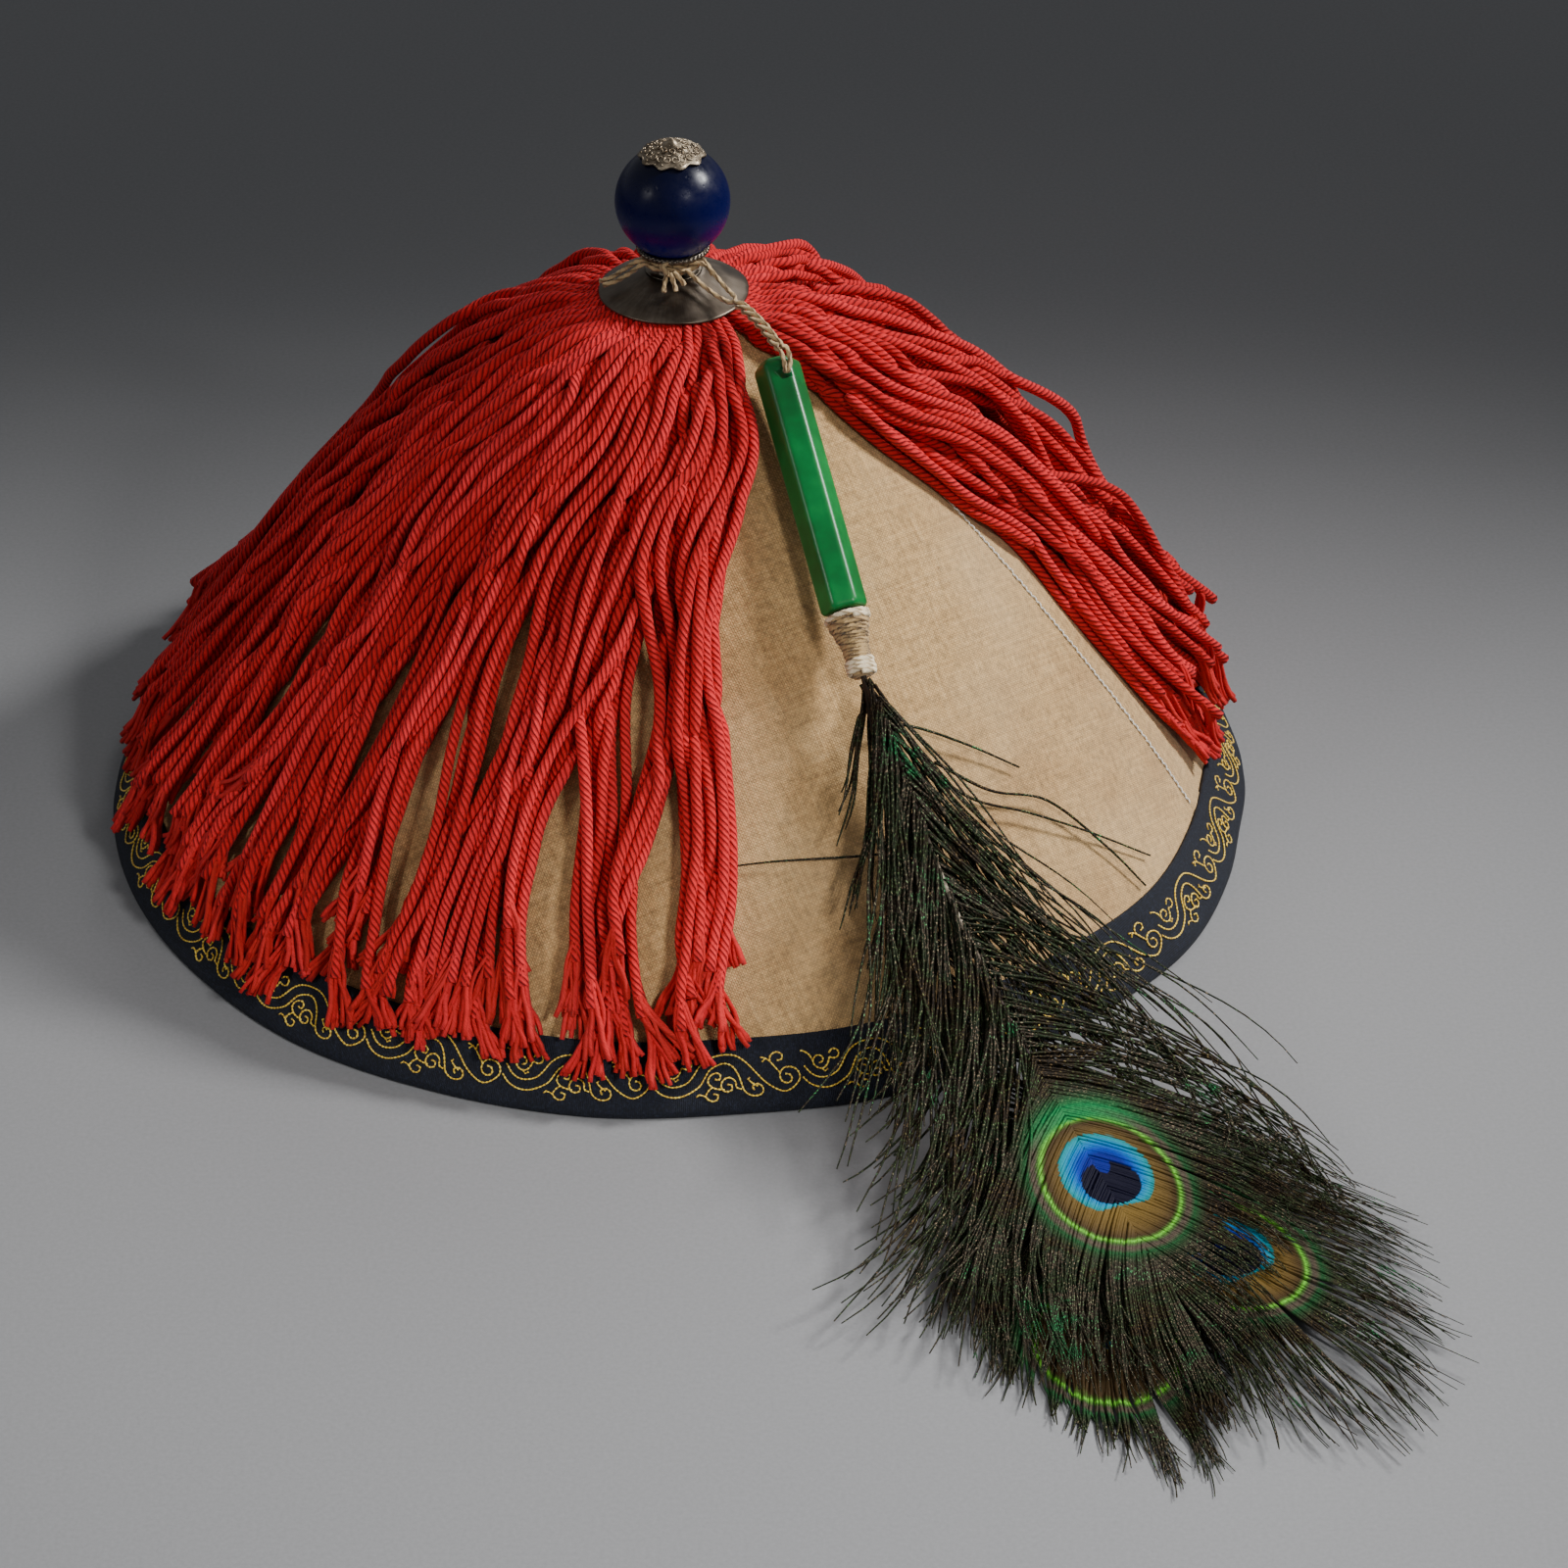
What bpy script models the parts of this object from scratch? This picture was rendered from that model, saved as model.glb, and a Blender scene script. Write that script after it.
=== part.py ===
"""Summer hat of a mandarin official: linen cone, cord fringe, glass finial and peacock plume.

The rim plane is z = 0 and the hat's axis is the Z axis. The front of the hat faces -Y.
Azimuths are in degrees, counted from +X towards +Y, so the front is at -90.
"""
import math

import bmesh
import bpy
from mathutils import Vector

MM = 0.001

# Cloth cone
RIM_RADIUS = 150 * MM
CROWN_HEIGHT = 146 * MM
CROWN_CURVE = 1.45
CROWN_WALL = 2 * MM
CROWN_HOLE_RADIUS = 3.2 * MM
CROWN_COLUMNS = 48

# Band folded round the rim
BAND_WIDTH = 17 * MM
BAND_WALL = 1 * MM

# Gaps between pieces: hard neighbours, and soft pieces whose facets cut across a curve
GAP = 0.3 * MM
SOFT_GAP = 0.7 * MM

# Cord fringe
FRINGE_THICKNESS = 12 * MM
FRINGE_HEAD_RADIUS = 9 * MM
FRINGE_LOCKS = 40

# Finial, from the crown upwards
POST_RADIUS = 2 * MM
POST_FLANGE_RADIUS = 8 * MM
POST_FLANGE_HEIGHT = 2 * MM
DISC_RADIUS = 18.8 * MM
DISC_THICKNESS = 0.9 * MM
DISC_LIFT = 7 * MM
DISC_RISE = 5.2 * MM
DISC_HUB_RADIUS = 7.5 * MM
COLLAR_WAIST_RADIUS = 5.6 * MM
COLLAR_FLARE_RADIUS = 8.6 * MM
COLLAR_HEIGHT = 6.6 * MM
COLLAR_FOOT = 0.8 * MM
COLLAR_FLARE_HEIGHT = 1.5 * MM
COLLAR_BEADS = 16
BEAD_DEPTH = 0.5 * MM
BALL_RADIUS = 14.3 * MM
CAP_WALL = 0.9 * MM
CAP_RADIUS = 8.4 * MM
CAP_TIP_HEIGHT = 1.5 * MM
CAP_PETALS = 10

# String that ties the plume to the collar
STRING_DIAMETER = 1.4 * MM
STRING_TURNS = 3
KNOT_AZIMUTH = -98
BRAID_DIAMETER = 2.2 * MM

# Plume tube and binding
TUBE_LENGTH = 66 * MM
TUBE_WIDTH = 10.6 * MM
TUBE_CHAMFER = 1.8 * MM
TUBE_BORE_RADIUS = 3.4 * MM
TUBE_BORE_DEPTH = 54 * MM
TUBE_HOLE_RADIUS = 1.5 * MM
TUBE_HOLE_DROP = 5 * MM
BINDING_LENGTH = 17 * MM
BINDING_TOP_RADIUS = 5.6 * MM
BINDING_END_RADIUS = 3.5 * MM
BINDING_TURNS = 8

# Feathers
QUILL_RADIUS = 0.85 * MM
QUILL_DEPTH = 15 * MM
VANE_THICKNESS = 1 * MM
VANE_START = 7 * MM
LAYER_PITCH = 2.6 * MM
BARB_LENGTH = 85 * MM
BARB_LOCKS = 11

# Dents and bulges of the rim: azimuth, half width in degrees, depth as a share of RIM_RADIUS
RIM_DENTS = (
    (-32, 16, 0.013),
    (-10, 9, -0.007),
    (-84, 14, -0.010),
    (-128, 16, 0.006),
    (172, 14, -0.006),
    (110, 18, 0.006),
    (52, 14, -0.007),
)

# Edges of the bare front of the crown: share of RIM_RADIUS, right edge, left edge (azimuths)
FRINGE_EDGES = (
    (0.05, -36, -46),
    (0.13, -34, -48),
    (0.17, -30, -56),
    (0.21, -28, -61),
    (0.31, -29, -66),
    (0.36, -29, -73),
    (0.45, -24, -77.5),
    (0.60, -19, -81),
    (0.85, -17, -83.5),
    (1.00, -12, -82),
)

# Fringe thickness along a cord: share of RIM_RADIUS, share of FRINGE_THICKNESS
FRINGE_BUILD = (
    (0.06, 0.20),
    (0.12, 0.26),
    (0.18, 0.62),
    (0.28, 0.92),
    (0.40, 1.00),
    (0.60, 0.90),
    (0.80, 0.70),
    (0.92, 0.56),
    (1.02, 0.46),
)

# Fringe round the hat: azimuth, share of thickness, tip share of RIM_RADIUS, share of
# FRINGE_THICKNESS that the tips stand off
FRINGE_ROUND = (
    (-20, 1.25, 0.960, 0.30),
    (-5, 1.45, 0.980, 0.35),
    (15, 1.55, 0.975, 0.60),
    (40, 1.55, 0.970, 0.45),
    (70, 1.30, 0.980, 0.30),
    (110, 1.05, 0.985, 0.30),
    (140, 0.92, 0.975, 0.50),
    (160, 0.90, 0.970, 0.60),
    (180, 0.85, 0.980, 0.25),
    (210, 0.75, 0.990, 0.10),
    (240, 0.75, 0.990, 0.05),
    (280, 0.80, 0.985, 0.00),
)

# Stations along each cord, as shares of its run from the head to the tip
FRINGE_STATIONS = (0, 0.07, 0.13, 0.22, 0.34, 0.47, 0.60, 0.72, 0.82, 0.91, 1.0)
FRINGE_TIP_STEPS = (0, -0.014, 0.004, -0.020, -0.006, 0.006, -0.012)

# Tube on the crown: azimuth, share of RIM_RADIUS and lift of the axis at its two ends
TUBE_TOP = (-47.6, 0.208, 11.2 * MM)
TUBE_FOOT = (-60.1, 0.516, 10.3 * MM)

# Route of the braid: azimuth, share of RIM_RADIUS, lift above the crown
BRAID_ROUTE = (
    (-36, 0.075, 8.6 * MM),
    (-38, 0.105, 9.6 * MM),
    (-41, 0.135, 10.6 * MM),
    (-44, 0.158, 11.6 * MM),
    (-46, 0.178, 13.6 * MM),
)

# Loose ends of the tie: azimuth of the root and of the end, length, drop at the end
TIE_ENDS = (
    (-104, -118, 7.5 * MM, 4.0 * MM),
    (-92, -88, 8.0 * MM, 4.6 * MM),
    (-160, -172, 12.0 * MM, 4.4 * MM),
    (-8, -2, 7.0 * MM, 1.6 * MM),
)

# Feathers: name, layer, heading at the binding and at the end, quill length, place in the
# binding (sideways, up, as shares of the quills' pitch) and the vane. A vane row gives the
# share of the quill, then angle and share of BARB_LENGTH on the left and on the right
FEATHERS = (
    ("feather_lower", 0, -65, -72, 176 * MM, (-0.5, -0.29), (
        (0.00, 24, 0.30, 24, 0.30),
        (0.25, 34, 0.55, 30, 0.50),
        (0.50, 42, 0.66, 34, 0.55),
        (0.75, 36, 0.58, 30, 0.52),
        (1.00, 12, 0.46, 14, 0.50),
    )),
    ("feather_middle", 1, -57, -55, 165 * MM, (0.5, -0.29), (
        (0.00, 22, 0.30, 30, 0.45),
        (0.25, 32, 0.50, 48, 0.80),
        (0.50, 36, 0.55, 44, 0.86),
        (0.75, 30, 0.60, 34, 0.80),
        (1.00, 8, 0.66, 10, 0.70),
    )),
    ("feather_upper", 2, -57.5, -68, 160 * MM, (0.0, 0.58), (
        (0.00, 34, 0.40, 36, 0.50),
        (0.20, 56, 0.68, 58, 0.82),
        (0.40, 60, 0.90, 58, 0.92),
        (0.60, 54, 0.80, 54, 0.95),
        (0.80, 42, 0.66, 46, 0.88),
        (1.00, 12, 0.50, 16, 0.60),
    )),
)
BARB_STATIONS = (0, 0.3, 0.66, 1.0)
BARB_SPLIT = 1
BARB_BEND = 0.45

# Where the plume leaves the crown and where it lies flat, as shares of RIM_RADIUS
PLUME_LEAVES = 0.63
PLUME_LANDS = 1.73
PLUME_SLOPE = -0.95
PLUME_SETTLES = 0.95


# Small helpers

def material(name, colour, roughness, metallic=0.0):
    made = bpy.data.materials.new(name)
    made.use_nodes = True
    shader = made.node_tree.nodes["Principled BSDF"]
    shader.inputs["Base Color"].default_value = (*colour, 1)
    shader.inputs["Roughness"].default_value = roughness
    shader.inputs["Metallic"].default_value = metallic
    return made


def add_object(name, mesh_data, finish, smooth=True):
    bmesh.ops.recalc_face_normals(mesh_data, faces=mesh_data.faces)
    mesh = bpy.data.meshes.new(name)
    mesh_data.to_mesh(mesh)
    mesh_data.free()
    if smooth:
        mesh.shade_smooth()
        mesh.set_sharp_from_angle(angle=math.radians(40))
    mesh.materials.append(finish)
    made = bpy.data.objects.new(name, mesh)
    bpy.context.scene.collection.objects.link(made)
    return made


def along(table, place, column):
    """Value of a table's column at a place, on straight lines between its rows."""
    if place <= table[0][0]:
        return table[0][column]
    for low, high in zip(table, table[1:]):
        if place <= high[0]:
            part = (place - low[0]) / (high[0] - low[0])
            return low[column] + (high[column] - low[column]) * part
    return table[-1][column]


def ease(part):
    part = min(max(part, 0), 1)
    return part * part * (3 - 2 * part)


def ring_faces(bm, ring_a, ring_b, closed=True):
    count = len(ring_a)
    for i in range(count if closed else count - 1):
        j = (i + 1) % count
        bm.faces.new((ring_a[i], ring_a[j], ring_b[j], ring_b[i]))


def revolve(bm, profile, columns, shape=None, frame=None):
    """Turn a profile of (radius, height) about an axis. Points on the axis become poles.

    shape(row, angle, radius, height) may change a point, and frame maps (x, y, z) to space.
    """
    rings = []
    for row, (radius, height) in enumerate(profile):
        if radius == 0:
            spot = Vector((0, 0, height))
            rings.append([bm.verts.new(frame(spot) if frame else spot)])
            continue
        ring = []
        for i in range(columns):
            angle = 2 * math.pi * i / columns
            r, z = shape(row, angle, radius, height) if shape else (radius, height)
            spot = Vector((r * math.cos(angle), r * math.sin(angle), z))
            ring.append(bm.verts.new(frame(spot) if frame else spot))
        rings.append(ring)
    closed = len(rings[0]) > 1
    pairs = list(zip(rings, rings[1:]))
    if closed:
        pairs.append((rings[-1], rings[0]))
    for ring_a, ring_b in pairs:
        if len(ring_a) == 1:
            for i in range(columns):
                bm.faces.new((ring_a[0], ring_b[i], ring_b[(i + 1) % columns]))
        elif len(ring_b) == 1:
            for i in range(columns):
                bm.faces.new((ring_b[0], ring_a[(i + 1) % columns], ring_a[i]))
        else:
            ring_faces(bm, ring_a, ring_b)


def smooth_route(points, steps):
    """Points on a smooth curve through the given ones."""
    ends = [points[0] * 2 - points[1]] + list(points) + [points[-1] * 2 - points[-2]]
    route = []
    for a, b, c, d in zip(ends, ends[1:], ends[2:], ends[3:]):
        for k in range(steps):
            t = k / steps
            route.append(0.5 * (2 * b + (c - a) * t + (2 * a - 5 * b + 4 * c - d) * t ** 2
                                + (3 * b - a - 3 * c + d) * t ** 3))
    route.append(points[-1].copy())
    return route


def sweep(bm, route, radius_at, sides, twist=0.0, lobes=0, depth=0.0):
    """Closed tube along a route, with lobes that turn by twist radians for each metre."""
    rings = []
    side = None
    travelled = 0.0
    for i, spot in enumerate(route):
        ahead = route[min(i + 1, len(route) - 1)]
        behind = route[max(i - 1, 0)]
        forward = (ahead - behind).normalized()
        if side is None:
            side = forward.cross(Vector((0, 0, 1))).normalized()
        side = (side - forward * side.dot(forward)).normalized()
        other = forward.cross(side)
        if i:
            travelled += (spot - route[i - 1]).length
        ring = []
        for k in range(sides):
            angle = 2 * math.pi * k / sides
            swell = 1 + depth * (math.cos(lobes * angle) - 1) / 2
            reach = radius_at(i / (len(route) - 1)) * swell
            turned = angle + twist * travelled
            ring.append(bm.verts.new(spot + side * math.cos(turned) * reach
                                     + other * math.sin(turned) * reach))
        rings.append(ring)
    for ring_a, ring_b in zip(rings, rings[1:]):
        ring_faces(bm, ring_a, ring_b)
    bm.faces.new(rings[0])
    bm.faces.new(rings[-1])


# Surface of the crown

RIM_SLOPE = CROWN_HEIGHT * CROWN_CURVE / RIM_RADIUS
RIM_NORMAL_OUT = RIM_SLOPE / math.hypot(RIM_SLOPE, 1)
CROWN_FOOT = BAND_WALL + GAP
CROWN_EDGE = RIM_RADIUS - (BAND_WALL + GAP) * RIM_NORMAL_OUT


def rim_dent(azimuth):
    total = 0.0
    for centre, half, depth in RIM_DENTS:
        away = abs((azimuth - centre + 180) % 360 - 180) / half
        total += depth * RIM_RADIUS * (1 - ease(away))
    return total


def crown_rise(radius):
    return CROWN_FOOT + CROWN_HEIGHT * (1 - (max(radius, 0) / CROWN_EDGE) ** CROWN_CURVE)


def crown_slope(radius):
    share = max(radius, 0.1 * MM) / CROWN_EDGE
    return -CROWN_HEIGHT * CROWN_CURVE / CROWN_EDGE * share ** (CROWN_CURVE - 1)


def raised(azimuth, radius, height, slope, offset):
    """Point at a radius and height, raised along the normal of a surface of that slope."""
    length = math.hypot(slope, 1)
    reach = radius - slope / length * offset
    turn = math.radians(azimuth)
    return Vector((reach * math.cos(turn), reach * math.sin(turn), height + offset / length))


def crown_point(azimuth, radius, offset):
    dented = radius + rim_dent(azimuth) * (radius / CROWN_EDGE) ** 3
    return raised(azimuth, dented, crown_rise(radius), crown_slope(radius), offset)


def foot_point(azimuth, offset, height):
    """Point beside the crown's cut edge, at a height, offset square to the cloth."""
    reach = CROWN_EDGE + rim_dent(azimuth) + offset / RIM_NORMAL_OUT
    turn = math.radians(azimuth)
    return Vector((reach * math.cos(turn), reach * math.sin(turn), height))


BAND_TOP = CROWN_EDGE - BAND_WIDTH / math.hypot(RIM_SLOPE, 1)
BAND_MIDDLE = (BAND_TOP + CROWN_EDGE) / 2


# Crown and band

def column_azimuths():
    return [360 * i / CROWN_COLUMNS for i in range(CROWN_COLUMNS)]


def sheet_of_rings(bm, rows):
    """Close rings of points, one row after another, into one ring shaped solid."""
    rings = [[bm.verts.new(spot) for spot in row] for row in rows]
    for ring_a, ring_b in zip(rings, rings[1:] + rings[:1]):
        ring_faces(bm, ring_a, ring_b)


def build_crown(finish):
    shares = (0.09, 0.18, 0.29, 0.42, 0.56, 0.71, 0.85)
    radii = [CROWN_HOLE_RADIUS] + [share * CROWN_EDGE for share in shares]
    radii += [BAND_TOP, BAND_MIDDLE]
    outer = [[crown_point(a, r, 0) for a in column_azimuths()] for r in radii]
    outer.append([foot_point(a, 0, CROWN_FOOT) for a in column_azimuths()])
    inner = [[crown_point(a, r, -CROWN_WALL) for a in column_azimuths()] for r in radii[1:]]
    inner.insert(0, [crown_point(a, CROWN_HOLE_RADIUS, 0) - Vector((0, 0, CROWN_WALL))
                     for a in column_azimuths()])
    inner.append([foot_point(a, -CROWN_WALL, CROWN_FOOT) for a in column_azimuths()])
    bm = bmesh.new()
    sheet_of_rings(bm, outer + inner[::-1])
    return add_object("crown", bm, finish)


def build_band(finish):
    outside = GAP + BAND_WALL
    inside = CROWN_WALL + GAP
    lining = inside + BAND_WALL
    azimuths = column_azimuths()
    rows = [
        [crown_point(a, BAND_TOP, outside) for a in azimuths],
        [crown_point(a, BAND_MIDDLE, outside) for a in azimuths],
        [crown_point(a, CROWN_EDGE, outside) for a in azimuths],
        [foot_point(a, outside * RIM_NORMAL_OUT ** 2, 0) for a in azimuths],
        [foot_point(a, -lining, 0) for a in azimuths],
        [crown_point(a, BAND_MIDDLE, -lining) for a in azimuths],
        [crown_point(a, BAND_MIDDLE, -inside) for a in azimuths],
        [foot_point(a, -inside, BAND_WALL) for a in azimuths],
        [foot_point(a, GAP, BAND_WALL) for a in azimuths],
        [crown_point(a, BAND_MIDDLE, GAP) for a in azimuths],
        [crown_point(a, BAND_TOP, GAP) for a in azimuths],
    ]
    bm = bmesh.new()
    sheet_of_rings(bm, rows)
    return add_object("brim_band", bm, finish)


# Sheets that split into locks

def lock_sheet(bm, locks, stations, split_of, inset_of, grid, ridge=True):
    """Sheet that is whole at its head and parts into locks further on.

    grid(t, v, top) gives a point: t runs from 0 to locks across the sheet, v from 0 at the
    head to 1 at the tips. Returns the head's top and bottom vertices at the lock borders.
    """
    last = len(stations) - 1

    def column(t, v):
        return bm.verts.new(grid(t, v, True)), bm.verts.new(grid(t, v, False))

    def split_at(border):
        return -1 if border in (0, locks) else split_of(border)

    borders = []
    for border in range(locks + 1):
        shared = last if border in (0, locks) else split_at(border)
        borders.append([column(border, stations[k]) for k in range(shared + 1)])
    for lock in range(locks):
        edges = []
        for border, towards in ((lock, 1), (lock + 1, -1)):
            edge = list(borders[border])
            for k in range(len(edge), last + 1):
                inset = inset_of(k, split_at(border))
                edge.append(column(border + towards * inset, stations[k]))
            edges.append(edge)
        left, right = edges
        middle = [bm.verts.new(grid(lock + 0.5, v, True)) for v in stations] if ridge else None
        for k in range(last):
            if ridge:
                bm.faces.new((left[k][0], middle[k], middle[k + 1], left[k + 1][0]))
                bm.faces.new((middle[k], right[k][0], right[k + 1][0], middle[k + 1]))
            else:
                bm.faces.new((left[k][0], right[k][0], right[k + 1][0], left[k + 1][0]))
            bm.faces.new((left[k][1], left[k + 1][1], right[k + 1][1], right[k][1]))
            if k >= split_at(lock):
                bm.faces.new((left[k][0], left[k + 1][0], left[k + 1][1], left[k][1]))
            if k >= split_at(lock + 1):
                bm.faces.new((right[k][0], right[k][1], right[k + 1][1], right[k + 1][0]))
        crest = [middle[last]] if ridge else []
        bm.faces.new([left[last][0]] + crest + [right[last][0], right[last][1], left[last][1]])
        if ridge:
            bm.faces.new([left[0][1], right[0][1], right[0][0], middle[0], left[0][0]])
    return [edge[0][0] for edge in borders], [edge[0][1] for edge in borders]


# Cord fringe

def fringe_azimuth(radius, across):
    share = radius / RIM_RADIUS
    right = along(FRINGE_EDGES, share, 1)
    left = along(FRINGE_EDGES, share, 2) + 360
    return right + (left - right) * across


def band_lift(radius):
    """Height that a cord climbs to pass over the band's upper edge."""
    climb = 15 * BAND_WALL
    return (BAND_WALL + GAP) * ease((radius - BAND_TOP + climb) / climb)


def build_fringe(finish):
    def grid(t, v, top):
        across = t / FRINGE_LOCKS
        steps = FRINGE_TIP_STEPS
        at_rim = fringe_azimuth(RIM_RADIUS, across)
        tip_share = along(FRINGE_ROUND, at_rim, 2) + steps[int(t) % len(steps)] * ease(v)
        radius = FRINGE_HEAD_RADIUS + (tip_share * CROWN_EDGE - FRINGE_HEAD_RADIUS) * v
        azimuth = fringe_azimuth(radius, across)
        offset = SOFT_GAP + band_lift(radius)
        stand = along(FRINGE_ROUND, azimuth, 3) * FRINGE_THICKNESS
        offset += stand * ease((v - 0.7) / 0.3)
        if top:
            build = along(FRINGE_BUILD, radius / RIM_RADIUS, 1)
            around = along(FRINGE_ROUND, azimuth, 1) ** ease((v - 0.1) / 0.2)
            valley = 0.30 * abs(math.cos(math.pi * t)) * ease(v * 6)
            offset += FRINGE_THICKNESS * build * around * (1 - valley)
        return crown_point(azimuth, radius, offset)

    def split_of(border):
        """Station where neighbouring locks part."""
        steps = (7, 8, 6, 8, 7, 9, 7, 8)
        return steps[border % len(steps)]

    def inset_of(station, split):
        return 0.06 + 0.05 * (station - max(split, 0))

    bm = bmesh.new()
    lock_sheet(bm, FRINGE_LOCKS, FRINGE_STATIONS, split_of, inset_of, grid)
    return add_object("cord_fringe", bm, finish, smooth=False)


# Finial

DISC_RIM_HEIGHT = crown_rise(DISC_RADIUS) + DISC_LIFT
DISC_TOP = DISC_RIM_HEIGHT + DISC_RISE
COLLAR_BOTTOM = DISC_TOP + GAP
COLLAR_TOP = COLLAR_BOTTOM + COLLAR_HEIGHT
BORE_RADIUS = POST_RADIUS + GAP
CUP_RADIUS = BALL_RADIUS + GAP
CUP_LIP = COLLAR_FLARE_RADIUS - 0.4 * MM
BALL_CENTRE = COLLAR_TOP + math.sqrt(CUP_RADIUS ** 2 - CUP_LIP ** 2)


def ball_below(radius, sphere):
    return BALL_CENTRE - math.sqrt(sphere ** 2 - radius ** 2)


def ball_above(radius, sphere):
    return BALL_CENTRE + math.sqrt(sphere ** 2 - radius ** 2)


def build_disc(finish):
    waist = (DISC_RADIUS + DISC_HUB_RADIUS) / 2
    waist_height = DISC_RIM_HEIGHT + 0.44 * DISC_RISE
    lip = 0.35 * DISC_THICKNESS
    top = [(BORE_RADIUS, DISC_TOP), (DISC_HUB_RADIUS, DISC_TOP), (waist, waist_height),
           (DISC_RADIUS - lip, DISC_RIM_HEIGHT), (DISC_RADIUS, DISC_RIM_HEIGHT - lip)]
    under = [(DISC_RADIUS - lip, DISC_RIM_HEIGHT - DISC_THICKNESS),
             (waist, waist_height - DISC_THICKNESS),
             (DISC_HUB_RADIUS, DISC_TOP - DISC_THICKNESS),
             (BORE_RADIUS, DISC_TOP - DISC_THICKNESS)]
    bm = bmesh.new()
    revolve(bm, top + under, 28)
    return add_object("base_disc", bm, finish)


def build_post(finish):
    seat = crown_rise(POST_FLANGE_RADIUS) - CROWN_WALL * 1.2 - GAP
    top = ball_above(POST_RADIUS, BALL_RADIUS)
    profile = [(0, seat - POST_FLANGE_HEIGHT), (POST_FLANGE_RADIUS, seat - POST_FLANGE_HEIGHT),
               (POST_FLANGE_RADIUS, seat), (POST_RADIUS, seat + 0.2 * POST_RADIUS),
               (POST_RADIUS, top), (0, top)]
    bm = bmesh.new()
    revolve(bm, profile, 12)
    return add_object("finial_post", bm, finish)


def build_collar(finish):
    flare = COLLAR_TOP - COLLAR_FLARE_HEIGHT
    profile = [(BORE_RADIUS, COLLAR_BOTTOM), (DISC_HUB_RADIUS - GAP, COLLAR_BOTTOM),
               (COLLAR_WAIST_RADIUS, COLLAR_BOTTOM + COLLAR_FOOT),
               (COLLAR_WAIST_RADIUS, flare - 0.6 * COLLAR_FLARE_HEIGHT),
               (COLLAR_FLARE_RADIUS, flare),
               (COLLAR_FLARE_RADIUS, COLLAR_TOP - 0.2 * MM), (CUP_LIP, COLLAR_TOP)]
    profile += [(r, ball_below(r, CUP_RADIUS)) for r in (0.62 * CUP_LIP, BORE_RADIUS)]

    def bead(row, angle, radius, height):
        deep = BEAD_DEPTH * (1 - math.cos(COLLAR_BEADS * angle)) / 2
        return (radius - deep, height) if row in (4, 5) else (radius, height)

    bm = bmesh.new()
    revolve(bm, profile, 2 * COLLAR_BEADS, bead)
    return add_object("finial_collar", bm, finish)


def build_ball(finish):
    rows = 11
    first = math.asin(BORE_RADIUS / BALL_RADIUS)
    profile = []
    for i in range(rows + 1):
        polar = first + (math.pi - 2 * first) * i / rows
        profile.append((BALL_RADIUS * math.sin(polar), BALL_CENTRE + BALL_RADIUS * math.cos(polar)))
    bm = bmesh.new()
    revolve(bm, profile, 24)
    return add_object("finial_ball", bm, finish)


def build_cap(finish):
    seat = BALL_RADIUS + GAP
    crest = BALL_CENTRE + seat + CAP_WALL
    outer = [(0, crest + CAP_TIP_HEIGHT), (0.12 * CAP_RADIUS, crest + 0.35 * CAP_TIP_HEIGHT),
             (0.30 * CAP_RADIUS, ball_above(0.30 * CAP_RADIUS, seat + CAP_WALL)),
             (0.62 * CAP_RADIUS, ball_above(0.62 * CAP_RADIUS, seat + 1.3 * CAP_WALL)),
             (0.96 * CAP_RADIUS, ball_above(0.96 * CAP_RADIUS, seat + CAP_WALL)),
             (CAP_RADIUS, ball_above(CAP_RADIUS, seat))]
    inner = [(0.6 * CAP_RADIUS, ball_above(0.6 * CAP_RADIUS, seat)), (0, BALL_CENTRE + seat)]

    def petal(row, angle, radius, height):
        if row not in (3, 4, 5):
            return radius, height
        wave = (1 - math.cos(CAP_PETALS * angle)) / 2
        shorter = radius * (1 - 0.14 * wave * (row - 2) / 3)
        thickness = {3: 1.3 - 0.7 * wave, 4: 1.0 - 0.3 * wave, 5: 0.0}[row]
        return shorter, ball_above(shorter, seat + thickness * CAP_WALL)

    bm = bmesh.new()
    revolve(bm, outer + inner, 4 * CAP_PETALS, petal)
    return add_object("finial_cap", bm, finish)


# String

def union(keep, extras):
    for extra in extras:
        extra.hide_render = True
        extra.display_type = "WIRE"
        joined = keep.modifiers.new(extra.name, "BOOLEAN")
        joined.operation = "UNION"
        joined.solver = "EXACT"
        joined.object = extra


TIE_RADIUS = COLLAR_WAIST_RADIUS + GAP + STRING_DIAMETER / 2
TIE_BOTTOM = COLLAR_BOTTOM + COLLAR_FOOT + GAP
TIE_PITCH = 0.72 * STRING_DIAMETER
TIE_MIDDLE = TIE_BOTTOM + STRING_TURNS * TIE_PITCH / 2


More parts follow.
